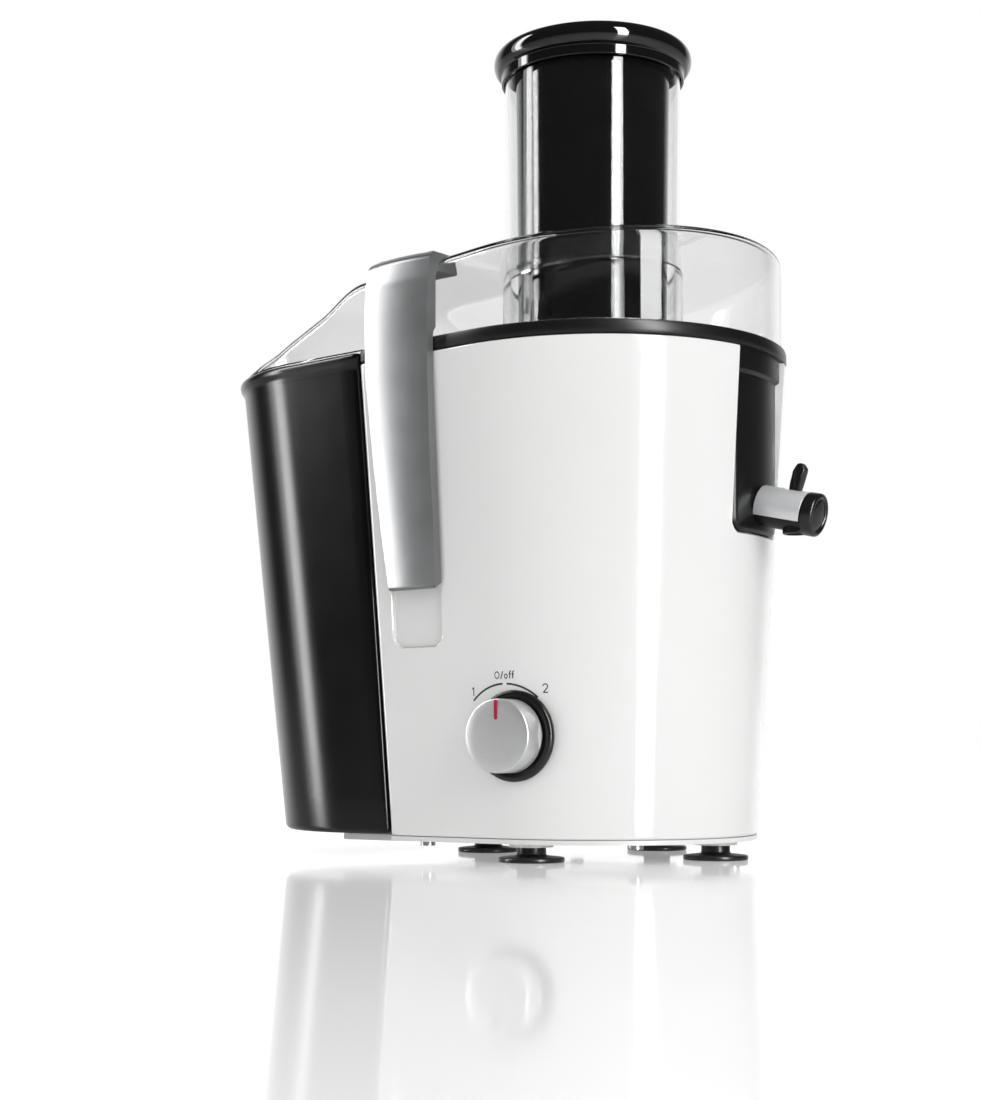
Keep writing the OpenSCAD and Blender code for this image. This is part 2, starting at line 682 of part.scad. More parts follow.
module cooling_fan() on_axis() color("ivory") {
    difference() {
        union() {
            disc(8, 119.5, 130);
            disc(32, 122, 123.6);
        }
        disc(shaft_r, 110, 140);
    }
    for (a = [0 : 36 : 324]) rotate([0, 0, a]) block([7.5, -0.8, 123.5], [31.5, 0.8, 129.5]);
}

module drive_coupling() on_axis() color([0.2, 0.2, 0.2]) difference() {
    union() {
        disc(9, 157, 170);
        for (a = [0 : 60 : 300]) rotate([0, 0, a]) block([6, -2, 165], [9.8, 2, 174]);
        disc(7, 165, 174);
    }
    disc(shaft_r, 150, 180);
}

// ---------------------------------------------------------------- basket

module filter_basket() on_axis() color([0.75, 0.76, 0.78]) rotate_extrude()
    polygon([[51, basket_floor + 0.5], [54, basket_floor + 0.5], [basket_rim_r - 2.2, basket_rim - 4],
        [basket_rim_r, basket_rim - 4], [basket_rim_r, basket_rim], [basket_rim_r - 3.4, basket_rim],
        [basket_rim_r - 4, basket_rim - 3], [51, basket_floor + 6]]);

module basket_hub() on_axis() color([0.1, 0.1, 0.1]) difference() {
    union() {
        disc(50.9, basket_floor, basket_floor + 3);
        disc(12.9, 166, basket_floor + 1);
    }
    disc(10.1, 160, 175.2);
    disc(3.2, 160, 190);
    for (a = [0 : 60 : 300]) rotate([0, 0, a + 30]) block([30, -4, 170], [46, 4, 190]);
}

// The steel grating disc with rings of small raised teeth and the button that centres it
module grating_disc() on_axis() color([0.8, 0.81, 0.83]) {
    disc(48, basket_floor + 3.1, basket_floor + 4.3);
    for (ring = [0 : 4]) for (a = [0 : 360 / (10 + 7 * ring) : 359])
        rotate([0, 0, a + 9 * ring]) translate([13 + 7.6 * ring, 0, basket_floor + 4.2])
            cylinder(r = 0.9, h = 1.5, $fn = 3);
    rotate_extrude() polygon([[0, basket_floor - 2], [3.1, basket_floor - 2], [3.1, basket_floor + 4],
        [7, basket_floor + 4], [6, basket_floor + 6.4], [0, basket_floor + 7.4]]);
}

// ---------------------------------------------------------------- drip stop

// The lever leans back towards the body to close the outlet
module drip_lever() on_axis() color([0.04, 0.04, 0.05]) on_spout() translate([lever_along, 0, lever_up])
    difference() {
        rotate([90, 0, 0]) translate([0, 0, -2.9]) linear_extrude(5.8)
            polygon(concat([[-1.8, -1], [-2.2, 1], [-2.6, 6], [-2.2, 12]],
                [for (a = [160 : -35 : 20]) [0.6 + 3 * cos(a), 13.2 + 3 * sin(a)]],
                [[3.2, 8], [2.2, 1], [1.8, -1], [1.2, -8], [-1.2, -8]]));
        rotate([90, 0, 0]) translate([0, 0, -8]) cylinder(r = 1 + fit, h = 16);
    }

module drip_lever_pin() on_axis() color("silver") on_spout() translate([lever_along, 0, lever_up])
    rotate([90, 0, 0]) translate([0, 0, -lever_pin_half]) cylinder(r = 1, h = 2 * lever_pin_half);

module drip_valve() on_axis() color([0.25, 0.25, 0.25]) on_spout() translate([lever_along, 0, lever_up])
    block([-2.4, -3.4, -11], [2.4, 3.4, -8]);

housing_shell();
base_plate();
foot_front();
foot_back();
foot_left();
foot_right();
housing_screws();
juice_bowl();
spout_panel();
juice_spout();
spout_sleeve();
spout_cap();
lid();
feed_tube();
knob_bezel();
rotary_switch();
control_board();
interlock_switches();
cord_gland();
clamp_pin_front();
clamp_pin_back();
motor_stator();
field_windings();
lower_bracket();
upper_bracket();
lower_bearing();
upper_bearing();
brush_holders();
carbon_brushes();
motor_screws();
motor_dampers();
shaft_seal();
motor_shaft();
armature();
armature_windings();
commutator();
cooling_fan();
drive_coupling();
filter_basket();
basket_hub();
grating_disc();
pusher();
pulp_container();
clamp_front();
clamp_back();
switch_knob();
knob_pointer();
switch_spindle();
drip_lever();
drip_lever_pin();
drip_valve();
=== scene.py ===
"""Centrifugal juicer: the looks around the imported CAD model.

Every shape is drawn in millimetres about the drive axis, as part.scad draws it, and Shape.make()
turns it into metres in the shared frame. Outlines and profiles are (distance, height) pairs.
"""

import json
import math

import bmesh
import bpy
from mathutils import Matrix, Vector

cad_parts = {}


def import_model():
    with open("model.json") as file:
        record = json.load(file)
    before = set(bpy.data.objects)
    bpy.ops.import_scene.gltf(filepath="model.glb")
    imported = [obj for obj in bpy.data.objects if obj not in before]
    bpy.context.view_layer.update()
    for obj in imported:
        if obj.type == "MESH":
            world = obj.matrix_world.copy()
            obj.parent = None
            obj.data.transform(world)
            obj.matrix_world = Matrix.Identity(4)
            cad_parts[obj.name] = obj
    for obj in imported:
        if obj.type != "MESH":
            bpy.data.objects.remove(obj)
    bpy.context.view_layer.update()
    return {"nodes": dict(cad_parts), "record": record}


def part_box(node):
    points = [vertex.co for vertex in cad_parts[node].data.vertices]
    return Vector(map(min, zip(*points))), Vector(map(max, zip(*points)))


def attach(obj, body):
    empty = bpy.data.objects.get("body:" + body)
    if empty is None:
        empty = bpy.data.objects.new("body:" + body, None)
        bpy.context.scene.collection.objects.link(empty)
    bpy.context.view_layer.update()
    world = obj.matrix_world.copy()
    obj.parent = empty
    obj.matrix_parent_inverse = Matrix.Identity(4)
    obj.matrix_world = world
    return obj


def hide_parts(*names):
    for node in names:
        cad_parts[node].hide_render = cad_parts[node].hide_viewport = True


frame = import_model()

MM = 0.001
TUBE_LO, TUBE_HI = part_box("feed_tube")
AXIS_X = (TUBE_LO.x + TUBE_HI.x) / 2 / MM      # the drive axis, in mm from the frame's origin

# ---------------------------------------------------------------- sizes shared with part.scad, mm

HOUSING_Z = (11.0, 240.3)
HOUSING_WALL = 3.2
FRONT_R = (82.0, 95.6)
END_R = (80.0, 78.5)
END_GAP = (92.0, 122.0)
SPLIT_X = (-67.0, -82.5)
CONTAINER_Z = (11.6, 245.9)
CONTAINER_GAP = 1.2
CONTAINER_WALL = 2.4
CONTAINER_MIDDLE = -115.0                      # x of the middle of the container's floor
FLANGE_TOP = 247.3
LID_Z = 247.4
LID_TOP = 287.2
LID_SLOPE = math.tan(math.radians(4.1))
LID_R = 93.1
LID_END_R = 77.1
ROOF_X = -95.0
ROOF_SLOPE = math.tan(math.radians(24))
BRIM_TOP = 249.4
CLEAR_WALL = 2.4
TUBE_R = 43.6
TUBE_FOOT_R = 44.8
TUBE_FOOT = 190.0
TUBE_TOP = 388.4
PUSHER_R = 37.2
PUSHER_FOOT = 196.0
PUSHER_TOP = 400.0
PANEL_ANGLE = 15.0
PANEL_R = 91.4
PANEL_Z = 155.0
PANEL_BACK_R = 86.0
PANEL_CORNER = 7.0
PANEL_STEP_Z = (228.6, 230.2)                  # the panel is thicker above this step
SPOUT_ROOT = Vector((80, 0, 170.7))
SPOUT_SLOPE = math.radians(12.5)
SLEEVE_R = 10.0
SLEEVE_END = 35.2                              # lengths along the spout from its root
SPOUT_TIP = 41.7
LEVER_ALONG = 27.0
LEVER_UP = 6.4
OUTLET_X = 109.0
CLAMP_YAW = math.radians(6.5)
RECESS_U = (-53.4, -24.6)
RECESS_Z = (102.0, 142.0)
RECESS_Q = 82.9
KNOB = (6.0, 59.0)                             # x and z of the knob's axis
KNOB_R = 17.0
BEZEL_R = 21.2
FOOT_R = 15.6
VENTS = range(-2, 49, 10)                      # left edges of the vents at the back
VENT_SIZE = (4, 26)
VENT_FOOT = 66
CORD_HOLE = (-30, 40)                          # x and z of the cord's hole at the back
CORD_HOLE_R = 6.1
FEET = {"front": (3, -64.5), "back": (3, 64.5), "left": (-61.5, 0), "right": (67.5, 0)}


def mix(a, b, t):
    return a + (b - a) * t


def rise(z):
    """How far up the housing a height lies, from 0 to 1."""
    return (z - HOUSING_Z[0]) / (HOUSING_Z[1] - HOUSING_Z[0])


def at_height(ends, z):
    """A size that changes evenly from the foot of the housing to its top."""
    return mix(ends[0], ends[1], rise(z))


def smoothstep(a, b, x):
    t = min(max((x - a) / (b - a), 0.0), 1.0)
    return t * t * (3 - 2 * t)


def spread(a, b, n):
    """n evenly spaced numbers from a to b, both ends included."""
    return [mix(a, b, i / (n - 1)) for i in range(n)]


# ---------------------------------------------------------------- mesh tools

class Shape:
    """Vertices in mm about the drive axis, and faces, gathered and then made into one piece."""

    def __init__(self):
        self.verts = []
        self.faces = []

    def rows(self, rows, closed=True, caps=(False, False)):
        """A skin over rows of equally many points. closed joins the ends of each row."""
        base, n = len(self.verts), len(rows[0])
        for row in rows:
            self.verts.extend(Vector(p) for p in row)
        last = n if closed else n - 1
        for r in range(len(rows) - 1):
            for i in range(last):
                a, b = base + r * n + i, base + r * n + (i + 1) % n
                self.faces.append((a, b, b + n, a + n))
        if caps[0]:
            self.faces.append(tuple(base + i for i in reversed(range(n))))
        if caps[1]:
            self.faces.append(tuple(base + (len(rows) - 1) * n + i for i in range(n)))

    def turned(self, profile, steps=96, place=None, caps=(False, False)):
        """A profile of (radius, height) pairs turned about Z, then placed by a matrix."""
        place = place or Matrix.Identity(4)
        angles = [2 * math.pi * i / steps for i in range(steps)]
        rows = [[place @ Vector((r * math.cos(a), r * math.sin(a), z)) for a in angles] for r, z in profile]
        self.rows(rows, caps=caps)

    def slab(self, outline, low, high, place=None):
        """A closed outline of (x, y) pairs between two heights."""
        place = place or Matrix.Identity(4)
        rows = [[place @ Vector((x, y, z)) for x, y in outline] for z in (low, high)]
        self.rows(rows, caps=(True, True))

    def make(self, name, materials, bevel=0.0, segments=2, sharp=35.0):
        """The finished Blender object, in metres in the shared frame."""
        shift = Vector((AXIS_X, 0, 0))
        mesh = bpy.data.meshes.new(name)
        mesh.from_pydata([(v + shift) * MM for v in self.verts], [], self.faces)
        for material in materials:
            mesh.materials.append(material)
        tidy(mesh)
        obj = bpy.data.objects.new(name, mesh)
        bpy.context.scene.collection.objects.link(obj)
        if bevel:
            edge = obj.modifiers.new("rounded_edges", "BEVEL")
            edge.width = bevel * MM
            edge.segments = segments
            edge.limit_method = "ANGLE"
            edge.angle_limit = math.radians(sharp)
            edge.harden_normals = True
        soften(mesh, sharp)
        return obj


def tidy(mesh):
    """Merges doubled points, drops collapsed faces and turns every face outwards."""
    bm = bmesh.new()
    bm.from_mesh(mesh)
    bmesh.ops.remove_doubles(bm, verts=bm.verts, dist=0.002 * MM)
    bmesh.ops.dissolve_degenerate(bm, edges=bm.edges, dist=0.0005 * MM)
    bmesh.ops.recalc_face_normals(bm, faces=bm.faces)
    bm.to_mesh(mesh)
    bm.free()


def soften(mesh, sharp):
    mesh.shade_smooth()
    mesh.set_sharp_from_angle(angle=math.radians(sharp))


def applied(obj):
    """Replaces an object's mesh by the one its modifiers give."""
    bpy.context.view_layer.update()
    graph = bpy.context.evaluated_depsgraph_get()
    mesh = bpy.data.meshes.new_from_object(obj.evaluated_get(graph))
    obj.modifiers.clear()
    obj.data = mesh
    return obj


def cut(obj, *cutters, sharp=35.0):
    """Takes the cutters' volumes out of obj, and removes the cutters."""
    for cutter in cutters:
        tool = obj.modifiers.new("cut", "BOOLEAN")
        tool.operation = "DIFFERENCE"
        tool.solver = "EXACT"
        tool.object = cutter
        applied(obj)
        bpy.data.objects.remove(cutter)
    soften(obj.data, sharp)
    return obj


def rounded(points, radii, steps=6):
    """A polygon, closed, with its corners rounded. radii is one number or one per corner."""
    n = len(points)
    radii = [radii] * n if isinstance(radii, (int, float)) else radii
    out = []
    for i in range(n):
        out += corner(points[i - 1], points[i], points[(i + 1) % n], radii[i], steps)
    return out


def rounded_path(points, radii, steps=6):
    """An open run of points with its inner corners rounded, by one radius per point."""
    out = [points[0]]
    for i in range(1, len(points) - 1):
        out += corner(points[i - 1], points[i], points[i + 1], radii[i], steps)
    return out + [points[-1]]


def corner(before, at, after, radius, steps):
    """The points of one rounded corner, or the corner itself where the radius is nothing."""
    p, a, b = Vector(at), Vector(before) - Vector(at), Vector(after) - Vector(at)
    if radius <= 0 or a.length < 1e-6 or b.length < 1e-6:
        return [tuple(at)]
    turn = a.angle(b)
    if turn > math.radians(176):
        return [tuple(at)]
    reach = min(radius / math.tan(turn / 2), a.length * 0.48, b.length * 0.48)
    start, end = p + a.normalized() * reach, p + b.normalized() * reach
    middle = p + (a.normalized() + b.normalized()).normalized() * (reach / math.cos(turn / 2))
    r = (start - middle).length
    s, e = (start - middle).normalized(), (end - middle).normalized()
    sweep = s.angle(e)
    arc = []
    for i in range(steps + 1):
        t = i / steps
        toward = s * math.sin((1 - t) * sweep) + e * math.sin(t * sweep)
        arc.append(tuple(middle + toward * (r / math.sin(sweep))))
    return arc


def placed(origin, x_axis, y_axis, z_axis):
    """The matrix that takes local axes to the three given directions at origin."""
    m = Matrix((x_axis, y_axis, z_axis)).transposed().to_4x4()
    m.translation = Vector(origin)
    return m


def side_wall(side):
    """Local X along a side wall, local Y straight out of it, Z up."""
    s = 1 if side == "front" else -1
    along = Vector((math.cos(CLAMP_YAW), -math.sin(CLAMP_YAW) * s, 0))
    out = Vector((-math.sin(CLAMP_YAW), -math.cos(CLAMP_YAW) * s, 0))
    return placed((0, 0, 0), along, out, (0, 0, 1))


def on_spout():
    """Local X down the spout, Z square to it and upwards."""
    return Matrix.Translation(SPOUT_ROOT) @ Matrix.Rotation(SPOUT_SLOPE, 4, "Y")


def at_knob():
    """Local Z straight out of the housing's front at the switch, local Y up."""
    x, z = KNOB
    return placed((x, -at_height(FRONT_R, z), z), (1, 0, 0), (0, 0, 1), (0, -1, 0))


# ---------------------------------------------------------------- materials

def new_material(name):
    material = bpy.data.materials.new(name)
    material.use_nodes = True
    tree = material.node_tree
    tree.nodes.clear()
    output = tree.nodes.new("ShaderNodeOutputMaterial")
    shader = tree.nodes.new("ShaderNodeBsdfPrincipled")
    tree.links.new(shader.outputs["BSDF"], output.inputs["Surface"])
    return material, tree, shader


def noise(tree, scale, detail=3.0, stretch=(1, 1, 1)):
    """Noise over the object's own coordinates, in metres."""
    place = tree.nodes.new("ShaderNodeTexCoord")
    mapping = tree.nodes.new("ShaderNodeMapping")
    mapping.inputs["Scale"].default_value = stretch
    texture = tree.nodes.new("ShaderNodeTexNoise")
    texture.inputs["Scale"].default_value = scale
    texture.inputs["Detail"].default_value = detail
    tree.links.new(place.outputs["Object"], mapping.inputs["Vector"])
    tree.links.new(mapping.outputs["Vector"], texture.inputs["Vector"])
    return texture.outputs["Fac"]


def ramp(tree, value, low, high, stops=(0.35, 0.65)):
    """Turns a noise value into numbers or colours between low and high."""
    node = tree.nodes.new("ShaderNodeValToRGB")
    for element, stop, level in zip(node.color_ramp.elements, stops, (low, high)):
        element.position = stop
        element.color = (level, level, level, 1) if isinstance(level, float) else (*level, 1)
    tree.links.new(value, node.inputs["Fac"])
    return node.outputs["Color"]


def bump(tree, shader, value, strength, distance):
    node = tree.nodes.new("ShaderNodeBump")
    node.inputs["Strength"].default_value = strength
    node.inputs["Distance"].default_value = distance
    tree.links.new(value, node.inputs["Height"])
    tree.links.new(node.outputs["Normal"], shader.inputs["Normal"])


def plastic(name, colour, roughness, grain=0.0, grain_scale=1800, coat=0.0, shade=0.05, specular=0.5):
    """Moulded plastic: slight tone changes, handling marks in the gloss, and optional grain."""
    material, tree, shader = new_material(name)
    dark = tuple(c * (1 - shade) for c in colour)
    tree.links.new(ramp(tree, noise(tree, 14), dark, tuple(colour)), shader.inputs["Base Color"])
    marks = ramp(tree, noise(tree, 60, 5), roughness * 0.96, roughness * 1.05)
    tree.links.new(marks, shader.inputs["Roughness"])
    shader.inputs["Specular IOR Level"].default_value = specular
    if coat:
        shader.inputs["Coat Weight"].default_value = coat
        shader.inputs["Coat Roughness"].default_value = 0.03
    if grain:
        bump(tree, shader, noise(tree, grain_scale, 2), grain, 0.00006)
    else:
        bump(tree, shader, noise(tree, 35, 2), 0.006, 0.0004)
    return material


def metal(name, colour, roughness, brushed=(1, 1, 1), brush_scale=900, strength=0.15, metallic=1.0):
    """Metal with a brushed or fine grain: stretch the noise along the brush lines."""
    material, tree, shader = new_material(name)
    lines = noise(tree, brush_scale, 4, brushed)
    dark = tuple(c * 0.9 for c in colour)
    tree.links.new(ramp(tree, lines, dark, tuple(colour), (0.2, 0.7)), shader.inputs["Base Color"])
    marks = ramp(tree, noise(tree, 80, 3), roughness * 0.95, roughness * 1.06)
    tree.links.new(marks, shader.inputs["Roughness"])
    shader.inputs["Metallic"].default_value = metallic
    bump(tree, shader, lines, strength, 0.00004)
    return material


def clear_plastic(name, tint):
    """Clear moulded plastic, with faint flow marks in its surface."""
    roughness = 0.015
    material, tree, shader = new_material(name)
    tree.links.new(ramp(tree, noise(tree, 20), tuple(c * 0.97 for c in tint), tuple(tint)),
                   shader.inputs["Base Color"])
    marks = ramp(tree, noise(tree, 50, 4), roughness * 0.6, roughness * 1.6)
    tree.links.new(marks, shader.inputs["Roughness"])
    shader.inputs["Transmission Weight"].default_value = 1.0
    shader.inputs["IOR"].default_value = 1.34
    bump(tree, shader, noise(tree, 25, 2), 0.008, 0.0006)
    return material


def perforated(name, colour):
    """Sieve steel: a dense field of tiny dark holes."""
    material, tree, shader = new_material(name)
    place = tree.nodes.new("ShaderNodeTexCoord")
    cells = tree.nodes.new("ShaderNodeTexVoronoi")
    cells.inputs["Scale"].default_value = 700
    cells.inputs["Randomness"].default_value = 0.25
    tree.links.new(place.outputs["Object"], cells.inputs["Vector"])
    holes = ramp(tree, cells.outputs["Distance"], (0.03, 0.03, 0.03), tuple(colour), (0.2, 0.3))
    tree.links.new(holes, shader.inputs["Base Color"])
    tree.links.new(ramp(tree, cells.outputs["Distance"], 0.7, 0.28, (0.2, 0.3)), shader.inputs["Roughness"])
    shader.inputs["Metallic"].default_value = 1.0
    bump(tree, shader, cells.outputs["Distance"], 0.4, 0.0002)
    return material


M = {
    "white_shell": plastic("white_shell", (0.87, 0.875, 0.865), 0.1, coat=0.5, shade=0.012),
    "base_plastic": plastic("base_plastic", (0.84, 0.84, 0.83), 0.35, grain=0.15),
    "foot_rubber": plastic("foot_rubber", (0.012, 0.012, 0.013), 0.3, grain=0.05),
    "bowl_plastic": plastic("bowl_plastic", (0.006, 0.0065, 0.006), 0.3, grain=0.08, specular=0.35),
    "black_gloss": plastic("black_gloss", (0.008, 0.008, 0.008), 0.24, coat=0.1),
    "pusher_black": plastic("pusher_black", (0.004, 0.004, 0.0045), 0.06, coat=0.4),
    "pulp_plastic": plastic("pulp_plastic", (0.002, 0.0021, 0.0019), 0.18, grain=0.03, grain_scale=2600,
                            specular=0.4),
    "clamp_silver": metal("clamp_silver", (0.34, 0.345, 0.35), 0.33, (1, 1, 1), 2200, 0.02, 0.82),
    "knob_silver": metal("knob_silver", (0.74, 0.75, 0.745), 0.34, (1, 1, 1), 1800, 0.03, 0.65),
    "pointer_red": plastic("pointer_red", (0.45, 0.004, 0.035), 0.3),
    "print_grey": plastic("print_grey", (0.03, 0.03, 0.032), 0.4),
    "spout_metal": metal("spout_metal", (0.82, 0.83, 0.84), 0.36, (0.15, 4, 4), 700, 0.08, 0.4),
    "lid_clear": clear_plastic("lid_clear", (0.985, 0.985, 0.985)),
    "tube_clear": clear_plastic("tube_clear", (0.975, 0.98, 0.985)),
    "screw_steel": metal("screw_steel", (0.5, 0.5, 0.52), 0.32),
    "pin_steel": metal("pin_steel", (0.55, 0.55, 0.57), 0.22, (0.2, 4, 4)),
    "switch_ivory": plastic("switch_ivory", (0.6, 0.56, 0.44), 0.45, grain=0.1),
    "board_green": plastic("board_green", (0.015, 0.11, 0.04), 0.35, shade=0.3),
    "inner_black": plastic("inner_black", (0.02, 0.02, 0.02), 0.42, grain=0.15),
    "iron_stack": metal("iron_stack", (0.26, 0.27, 0.29), 0.45, (0.2, 0.2, 14), 500, 0.4),
    "copper_wire": metal("copper_wire", (0.5, 0.19, 0.07), 0.32, (1, 1, 9), 500, 0.6),
    "bracket_alloy": metal("bracket_alloy", (0.5, 0.51, 0.53), 0.48, (1, 1, 1), 900, 0.3),
    "bearing_steel": metal("bearing_steel", (0.62, 0.62, 0.64), 0.16, (1, 1, 8)),
    "brush_brown": plastic("brush_brown", (0.12, 0.05, 0.02), 0.5, grain=0.2),
    "brush_carbon": plastic("brush_carbon", (0.02, 0.02, 0.022), 0.6, grain=0.3),
    "damper_rubber": plastic("damper_rubber", (0.02, 0.02, 0.02), 0.7, grain=0.3),
    "commutator_brass": metal("commutator_brass", (0.5, 0.24, 0.09), 0.24, (1, 1, 12)),
    "fan_plastic": plastic("fan_plastic", (0.5, 0.47, 0.36), 0.45, grain=0.1),
    "sieve_steel": perforated("sieve_steel", (0.6, 0.61, 0.63)),
    "grating_steel": metal("grating_steel", (0.62, 0.63, 0.65), 0.25, (1, 1, 1), 600, 0.2),
}


def finish_piece(obj, body, slot, *nodes):
    """Rides a new piece on its body and hides the CAD nodes it stands for. slot is not used."""
    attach(obj, body)
    if nodes:
        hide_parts(*nodes)
    return obj


# ---------------------------------------------------------------- outlines of the machine

SIDE_STOPS = spread(-66, -30, 61)              # close columns across the clamp recess
PANEL_STOPS = [math.radians(a) for a in spread(18, 13, 26) + spread(12, 0, 8)]


def half_outline(z, split, toward, inset=0.0, fillet=2.5):
    """Half of a cross-section, from the middle of the parting line round to the middle plane.

    toward is +1 for the housing and -1 for the container. The points lie at Y below zero, and
    their count doesn't depend on the height.
    """
    big, small, gap = at_height(FRONT_R, z) - inset, at_height(END_R, z) - inset, at_height(END_GAP, z)
    s = (small - big) / gap
    c = math.sqrt(1 - s * s)
    near = Vector((big * s, -big * c))
    far = Vector((-gap + small * s, -small * c))

    def on_side(x):
        return Vector((x, mix(near.y, far.y, (x - near.x) / (far.x - near.x))))

    x0 = split + toward * inset
    tangent = near if toward > 0 else far
    meet = on_side(x0)
    turn = corner((x0, 0), meet, tangent, fillet, 6)
    points = [Vector((x0, y)) for y in spread(0, turn[0][1], 6)[:-1]]
    points += [Vector(p) for p in turn]
    start = turn[-1][0]
    if toward > 0:
        stops = [mix(start, SIDE_STOPS[0], t) for t in (0.35, 0.7)] + SIDE_STOPS
        stops += [mix(SIDE_STOPS[-1], tangent.x, t) for t in (0.33, 0.66)]
        centre, radius = Vector((0, 0)), big
        first = math.atan2(tangent.y, tangent.x)
        angles = [mix(first, -PANEL_STOPS[0], i / 40) for i in range(40)] + [-a for a in PANEL_STOPS]
    else:
        stops = [mix(start, tangent.x, t) for t in (0.2, 0.4, 0.6, 0.8)]
        centre, radius = Vector((-gap, 0)), small
        first = math.atan2(tangent.y, tangent.x + gap)
        angles = [mix(first, -math.pi, i / 48) for i in range(49)]
    points += [on_side(x) for x in stops]
    points += [centre + Vector((math.cos(a), math.sin(a))) * radius for a in angles]
    return points


def whole_outline(half):
    """Both halves of a cross-section as one closed loop."""
    return half + [Vector((p.x, -p.y)) for p in reversed(half[1:-1])]


def box_distance(x, y, low, high, radius):
    """Distance to the edge of a rounded rectangle: below zero inside it."""
    cx, cy = (low[0] + high[0]) / 2, (low[1] + high[1]) / 2
    dx = abs(x - cx) - (high[0] - low[0]) / 2 + radius
    dy = abs(y - cy) - (high[1] - low[1]) / 2 + radius
    return math.hypot(max(dx, 0), max(dy, 0)) + min(max(dx, dy), 0) - radius


def pressed(point):
    """Moves a point of the housing's outside into the clamp recess or the panel's slot."""
    x, y, z = point
    side = "front" if y < 0 else "back"
    wall = side_wall(side)
    local = wall.inverted() @ Vector(point)
    depth = box_distance(local.x, z, (RECESS_U[0], RECESS_Z[0]), (RECESS_U[1], RECESS_Z[1]), 5.5)
    inside = smoothstep(0.7, -0.9, depth)
    if inside > 0 and local.y > 60:
        local.y = mix(local.y, RECESS_Q, inside)
        return wall @ local
    radius, angle = math.hypot(x, y), math.atan2(y, x)
    across = angle * PANEL_R
    half = math.radians(PANEL_ANGLE) * PANEL_R + 0.5
    depth = box_distance(across, z, (-half, PANEL_Z - 0.8), (half, HOUSING_Z[1] + 20), 6)
    inside = smoothstep(0.35, -0.45, depth) if x > 0 else 0
    if inside > 0:
        deep = mix(radius, min(radius - 2.2, 87.5), inside)
        return Vector((deep * math.cos(angle), deep * math.sin(angle), z))
    return Vector(point)


def housing():
    """The white housing: tapered, open at the top, with the clamp recesses and the panel's slot."""
    shape = Shape()
    low, high = HOUSING_Z
    heights = spread(low, low + 2, 5) + spread(24, 96, 7) + spread(99.5, 144.5, 76)
    heights += [148, 151] + spread(152.6, 157.4, 17) + spread(163, 232, 12) + spread(high - 1.2, high, 4)
    rows = []
    for z in heights:
        near_foot, near_top = max(low + 2 - z, 0) / 2, max(z - high + 1.2, 0) / 1.2
        foot_round = 2 * (1 - math.sqrt(max(1 - near_foot ** 2, 0)))
        top_round = 1.2 * (1 - math.sqrt(max(1 - near_top ** 2, 0)))
        inset = foot_round + top_round
        loop = whole_outline(half_outline(z, at_height(SPLIT_X, z), 1, inset))
        rows.append([pressed((p.x, p.y, z)) for p in loop])
    inner = [whole_outline(half_outline(z, at_height(SPLIT_X, z), 1, HOUSING_WALL)) for z in (high, low)]
    narrow = 0.985                             # the inside is a little narrower by the panel
    for z in (high, high - 14):
        loop = [p * narrow if p.x > 80 else p for p in inner[0]]
        rows.append([Vector((p.x, p.y, z)) for p in loop])
    rows.append([Vector((p.x, p.y, low)) for p in inner[1]])
    rows.append(rows[0])
    shape.rows(rows)
    shell = shape.make("housing_white", [M["white_shell"]], sharp=32)
    vents = []
    wide, tall = VENT_SIZE
    for x in VENTS:
        slot = Shape()
        corners = [(x, VENT_FOOT), (x + wide, VENT_FOOT), (x + wide, VENT_FOOT + tall), (x, VENT_FOOT + tall)]
        slot.slab(rounded(corners, 1.9, 5), -120, -60, placed((0, 0, 0), (1, 0, 0), (0, 0, 1), (0, -1, 0)))
        vents.append(slot.make("vent_cutter", []))
    hole = Shape()
    at_hole = placed((CORD_HOLE[0], 0, CORD_HOLE[1]), (1, 0, 0), (0, 0, -1), (0, 1, 0))
    hole.turned([(CORD_HOLE_R, 60), (CORD_HOLE_R, 110)], 32, at_hole, (True, True))
    cut(shell, *vents, hole.make("hole_cutter", []), sharp=32)
    return finish_piece(shell, "casing", "white_shell", "housing_shell")


def container():
    """The dark pulp container: hollow, open at the top, with a rounded lip round its rim."""
    shape = Shape()
    low, high = CONTAINER_Z
    wall = CONTAINER_WALL

    def loop(z, inset, fillet=3.0):
        split = at_height(SPLIT_X, z) - CONTAINER_GAP
        return [Vector((p.x, p.y, z)) for p in whole_outline(half_outline(z, split, -1, inset, fillet))]

    rows = [loop(low + 3 * (1 - math.cos(a)), 3 * (1 - math.sin(a))) for a in spread(0, math.pi / 2, 6)]
    rows += [loop(z, 0) for z in spread(30, high - 9, 14)]
    lip = [(6.6, -0.15), (5.2, -0.7), (4.2, -1.4), (3.2, -1.75), (2.0, -1.85), (1.0, -1.5), (0.3, -0.8),
           (0, 0.1), (0.1, 1.0), (0.6, 1.8)]
    rows += [loop(high - drop, inset) for drop, inset in lip]
    rows += [loop(z, wall) for z in (high - 3, high - 60, 90, low + 6)]
    rows.append(loop(low + 3, wall + 3))
    centre = Vector((CONTAINER_MIDDLE, 0, low + 3))
    rows += [[p.lerp(centre, t) for p in rows[-1]] for t in (0.3, 0.999)]
    under = Vector((CONTAINER_MIDDLE, 0, low))
    rows = [[p.lerp(under, t) for p in rows[0]] for t in (0.999, 0.3)] + rows
    shape.rows(rows, caps=(True, True))
    piece = shape.make("pulp_bin", [M["pulp_plastic"]], sharp=40)
    return finish_piece(piece, "container", "pulp_plastic", "pulp_container")


# ---------------------------------------------------------------- bowl and spout

